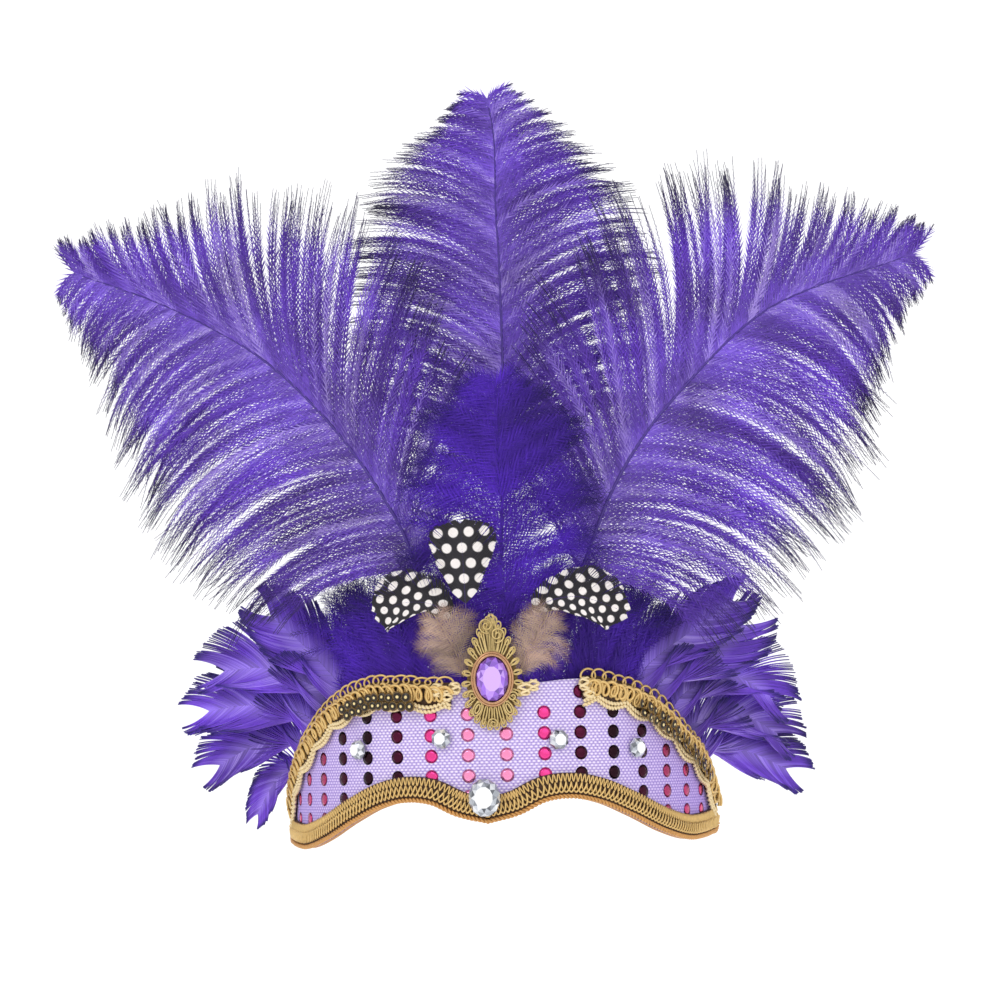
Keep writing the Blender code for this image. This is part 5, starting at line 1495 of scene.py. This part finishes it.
SHORT_FEATHERS = (
    FreeFeather("guinea_centre", "vane", GUINEA, -2.9, 1, GUINEA_CENTRE_REACH,
                GUINEA_CENTRE_ROUTE, 0.60, (GUINEA_VANE, GUINEA_VANE), 0.0175, 40, 6.2),
    FreeFeather("guinea_left", "vane", GUINEA, -7.5, -1, GUINEA_LEFT_REACH,
                GUINEA_LEFT_ROUTE, 0.56, (GUINEA_VANE, GUINEA_VANE), 0.0150, 41, 4.6),
    FreeFeather("guinea_right", "vane", GUINEA, 10.2, 1, GUINEA_RIGHT_REACH,
                GUINEA_RIGHT_ROUTE, 0.52, (GUINEA_VANE, GUINEA_VANE), 0.0150, 42, 4.6),
    FreeFeather("tan_fluff_left", "down", TAN, -5.2, -1, TAN_FLUFF_REACH, TAN_LEFT_ROUTE,
                0.40, (TAN_VANE, TAN_VANE), 0.013, 50, None),
    FreeFeather("tan_fluff_right", "down", TAN, 8.2, 1, TAN_FLUFF_REACH, TAN_RIGHT_ROUTE,
                0.40, (TAN_VANE, TAN_VANE), 0.013, 51, None),
)
SIDE_FEATHER_SEEDS = {-1: 61, 1: 71}

# Marabou that grows upwards from a string along the band: the part's two fringes, and four
# tufts that stand behind the other feathers
Fringe = namedtuple("Fringe", "name nodes span vane_from vane barb seed")
FRINGES = (
    Fringe("marabou_left_down", ("marabou_left",), MARABOU_FRINGE_LEFT, 0.04, FRINGE_VANE,
           0.050, 31),
    Fringe("marabou_right_down", ("marabou_right",), MARABOU_FRINGE_RIGHT, 0.04, FRINGE_VANE,
           0.050, 32),
    Fringe("marabou_tuft_outer_left", (), (-30.0, -58.0), 0.0, TUFT_VANE, 0.046, 35),
    Fringe("marabou_tuft_behind_left", (), (9.0, -20.0), 0.0, TUFT_VANE, 0.056, 36),
    Fringe("marabou_tuft_behind_right", (), (-8.0, 24.0), 0.0, TUFT_VANE, 0.056, 37),
    Fringe("marabou_tuft_outer_right", (), (33.0, 58.0), 0.0, TUFT_VANE, 0.046, 38),
)


def feather(name, nodes, shaft, vane_from, sides, barb, kind, seed, dot_pitch=None):
    """A feather's vane or down, with each barb's shape from its guide line."""
    source = barbs(name + "_guides", shaft, vane_from, sides, barb, kind.growth, seed)
    if dot_pitch is not None:
        attribute = source.attributes.new("dot_pitch", "FLOAT_VECTOR", "POINT")
        values = np.full(3 * len(source.vertices), dot_pitch, dtype=np.float32)
        attribute.data.foreach_set("vector", values)
    down = kind.down
    piece = grown(name, source, BARB_TREE, {
        "Barb Thickness": down.barb, "Barbule Pitch": down.pitch, "Barbule Length": down.length,
        "Barbule Width": down.width, "Barbule Angle": down.angle, "Seed": seed,
        "Material": kind.material})
    return worn(piece, kind.slot, *nodes)


def shown_quill(node, shaft, kind):
    if kind.quill_share:
        quill(node + "_quill", shaft, kind.quill * kind.quill_share, kind.quill_last,
              QUILL_KERATIN, kind.slot)


def free_feathers(rows):
    for row in rows:
        kind = row.kind
        shaft = free_shaft(row.angle, kind.tuck, kind.quill, row.side, row.reach, row.route)
        feather(f"{row.node}_{row.part}", (row.node,), shaft, row.vane_from,
                tuple(zip((-1, 1), row.halves)), row.barb, kind, row.seed, row.dot_pitch)
        shown_quill(row.node, shaft, kind)


def marabou_fringes():
    for row in FRINGES:
        side = 1 if row.span[1] < row.span[0] else -1
        feather(row.name, row.nodes, fringe_shaft(*row.span), row.vane_from, ((side, row.vane),),
                row.barb, FRINGE, row.seed)


def side_feathers():
    counts = {-1: 0, 1: 0}
    for row in SIDE_FEATHERS:
        seed = SIDE_FEATHER_SEEDS[row.side] + counts[row.side]
        counts[row.side] += 1
        node = f"side_feather_{'left' if row.side < 0 else 'right'}_{counts[row.side]}"
        shaft = free_shaft(row.side * row.angle, SMOOTH.tuck, SMOOTH.quill, row.side,
                           row.reach, row.route)
        feather(node + "_vane", (node,), shaft, SIDE_FEATHER_BARE / shaft.length,
                ((-1, SMOOTH_VANE), (1, SMOOTH_VANE)), row.barb, SMOOTH, seed)
        shown_quill(node, shaft, SMOOTH)


# Stage, light and camera

FLOOR_HEIGHT = -0.32
PAPER_HALF_WIDTH = 4.0
PAPER_SWEEP = ((-3.0, 0.0), (1.2, 0.0), (1.6, 0.05), (1.9, 0.2), (2.05, 0.5), (2.1, 3.0))
WORLD_STRENGTH = 1.06
Lamp = namedtuple("Lamp", "name place size power")
LAMPS = (
    Lamp("key", (-0.9, -1.3, 1.3), 0.9, 7.0),
    Lamp("fill", (1.1, -1.2, 0.6), 1.1, 3.0),
    Lamp("back", (0.2, 1.0, 1.1), 0.9, 5.0),
)
LAMP_AIM = (0.0, 0.0, 0.08)


def stage():
    """A white paper sweep, soft lamps and an even white sky."""
    bm = bmesh.new()
    loops = [[bm.verts.new((x, y, z + FLOOR_HEIGHT)) for x in (-PAPER_HALF_WIDTH, PAPER_HALF_WIDTH)]
             for y, z in PAPER_SWEEP]
    for near, far in zip(loops, loops[1:]):
        bm.faces.new((near[0], near[1], far[1], far[0]))
    material, tree, shader = new_material("matt_white_paper")
    shader.inputs["Base Color"].default_value = rgb("#ffffff")
    shader.inputs["Roughness"].default_value = 0.9
    floor = from_mesh("paper_sweep", bm, material)
    world = bpy.data.worlds.new("studio")
    world.use_nodes = True
    world.node_tree.nodes["Background"].inputs["Color"].default_value = (1, 1, 1, 1)
    world.node_tree.nodes["Background"].inputs["Strength"].default_value = WORLD_STRENGTH
    scene.world = world
    for lamp in LAMPS:
        light = bpy.data.lights.new(lamp.name, "AREA")
        light.size = lamp.size
        light.energy = lamp.power
        item = bpy.data.objects.new(lamp.name, light)
        item.location = lamp.place
        aim = Vector(LAMP_AIM) - Vector(lamp.place)
        item.rotation_euler = aim.to_track_quat("-Z", "Y").to_euler()
        scene.collection.objects.link(item)


# The photograph's viewing angle: level, from a little right of the middle, slightly rolled
CAMERA_TURN = 4.2
CAMERA_ROLL = 1.5
CAMERA_DISTANCE = 1.5
CAMERA_AIM = (0.0079, 0.0, 0.1018)
LENS = 135.0
SENSOR_WIDTH = 36.0


def camera():
    turn, roll = math.radians(CAMERA_TURN), math.radians(CAMERA_ROLL)
    place = CAMERA_DISTANCE * Vector((math.sin(turn), -math.cos(turn), 0.0))
    ahead = (Vector(CAMERA_AIM) - place).normalized()
    right = ahead.cross(Vector((0, 0, 1))).normalized()
    up = right.cross(ahead)
    leaned_right = math.cos(roll) * right - math.sin(roll) * up
    leaned_up = math.cos(roll) * up + math.sin(roll) * right
    data = bpy.data.cameras.new("camera")
    data.lens = LENS
    data.sensor_width = SENSOR_WIDTH
    item = bpy.data.objects.new("camera", data)
    axes = Matrix((leaned_right, leaned_up, -ahead)).transposed().to_4x4()
    item.matrix_world = Matrix.Translation(place) @ axes
    scene.collection.objects.link(item)
    scene.camera = item


def main():
    scene.view_settings.view_transform = "Standard"
    camera()
    stage()
    lower_braid()
    upper_braid("upper_braid_left_gimp", UPPER_BRAID_LEFT, "upper_braid_left")
    upper_braid("upper_braid_right_gimp", UPPER_BRAID_RIGHT, "upper_braid_right")
    sequin_row("sequins_left", SEQUIN_ROW_LEFT, "sequin_row_left")
    sequin_row("sequins_right", SEQUIN_ROW_RIGHT, "sequin_row_right")
    crown_cloth()
    foil_columns()
    medallion_wires()
    braid_knots()
    stones()
    free_feathers(TALL_FEATHERS)
    marabou_fringes()
    free_feathers(SHORT_FEATHERS)
    side_feathers()


main()
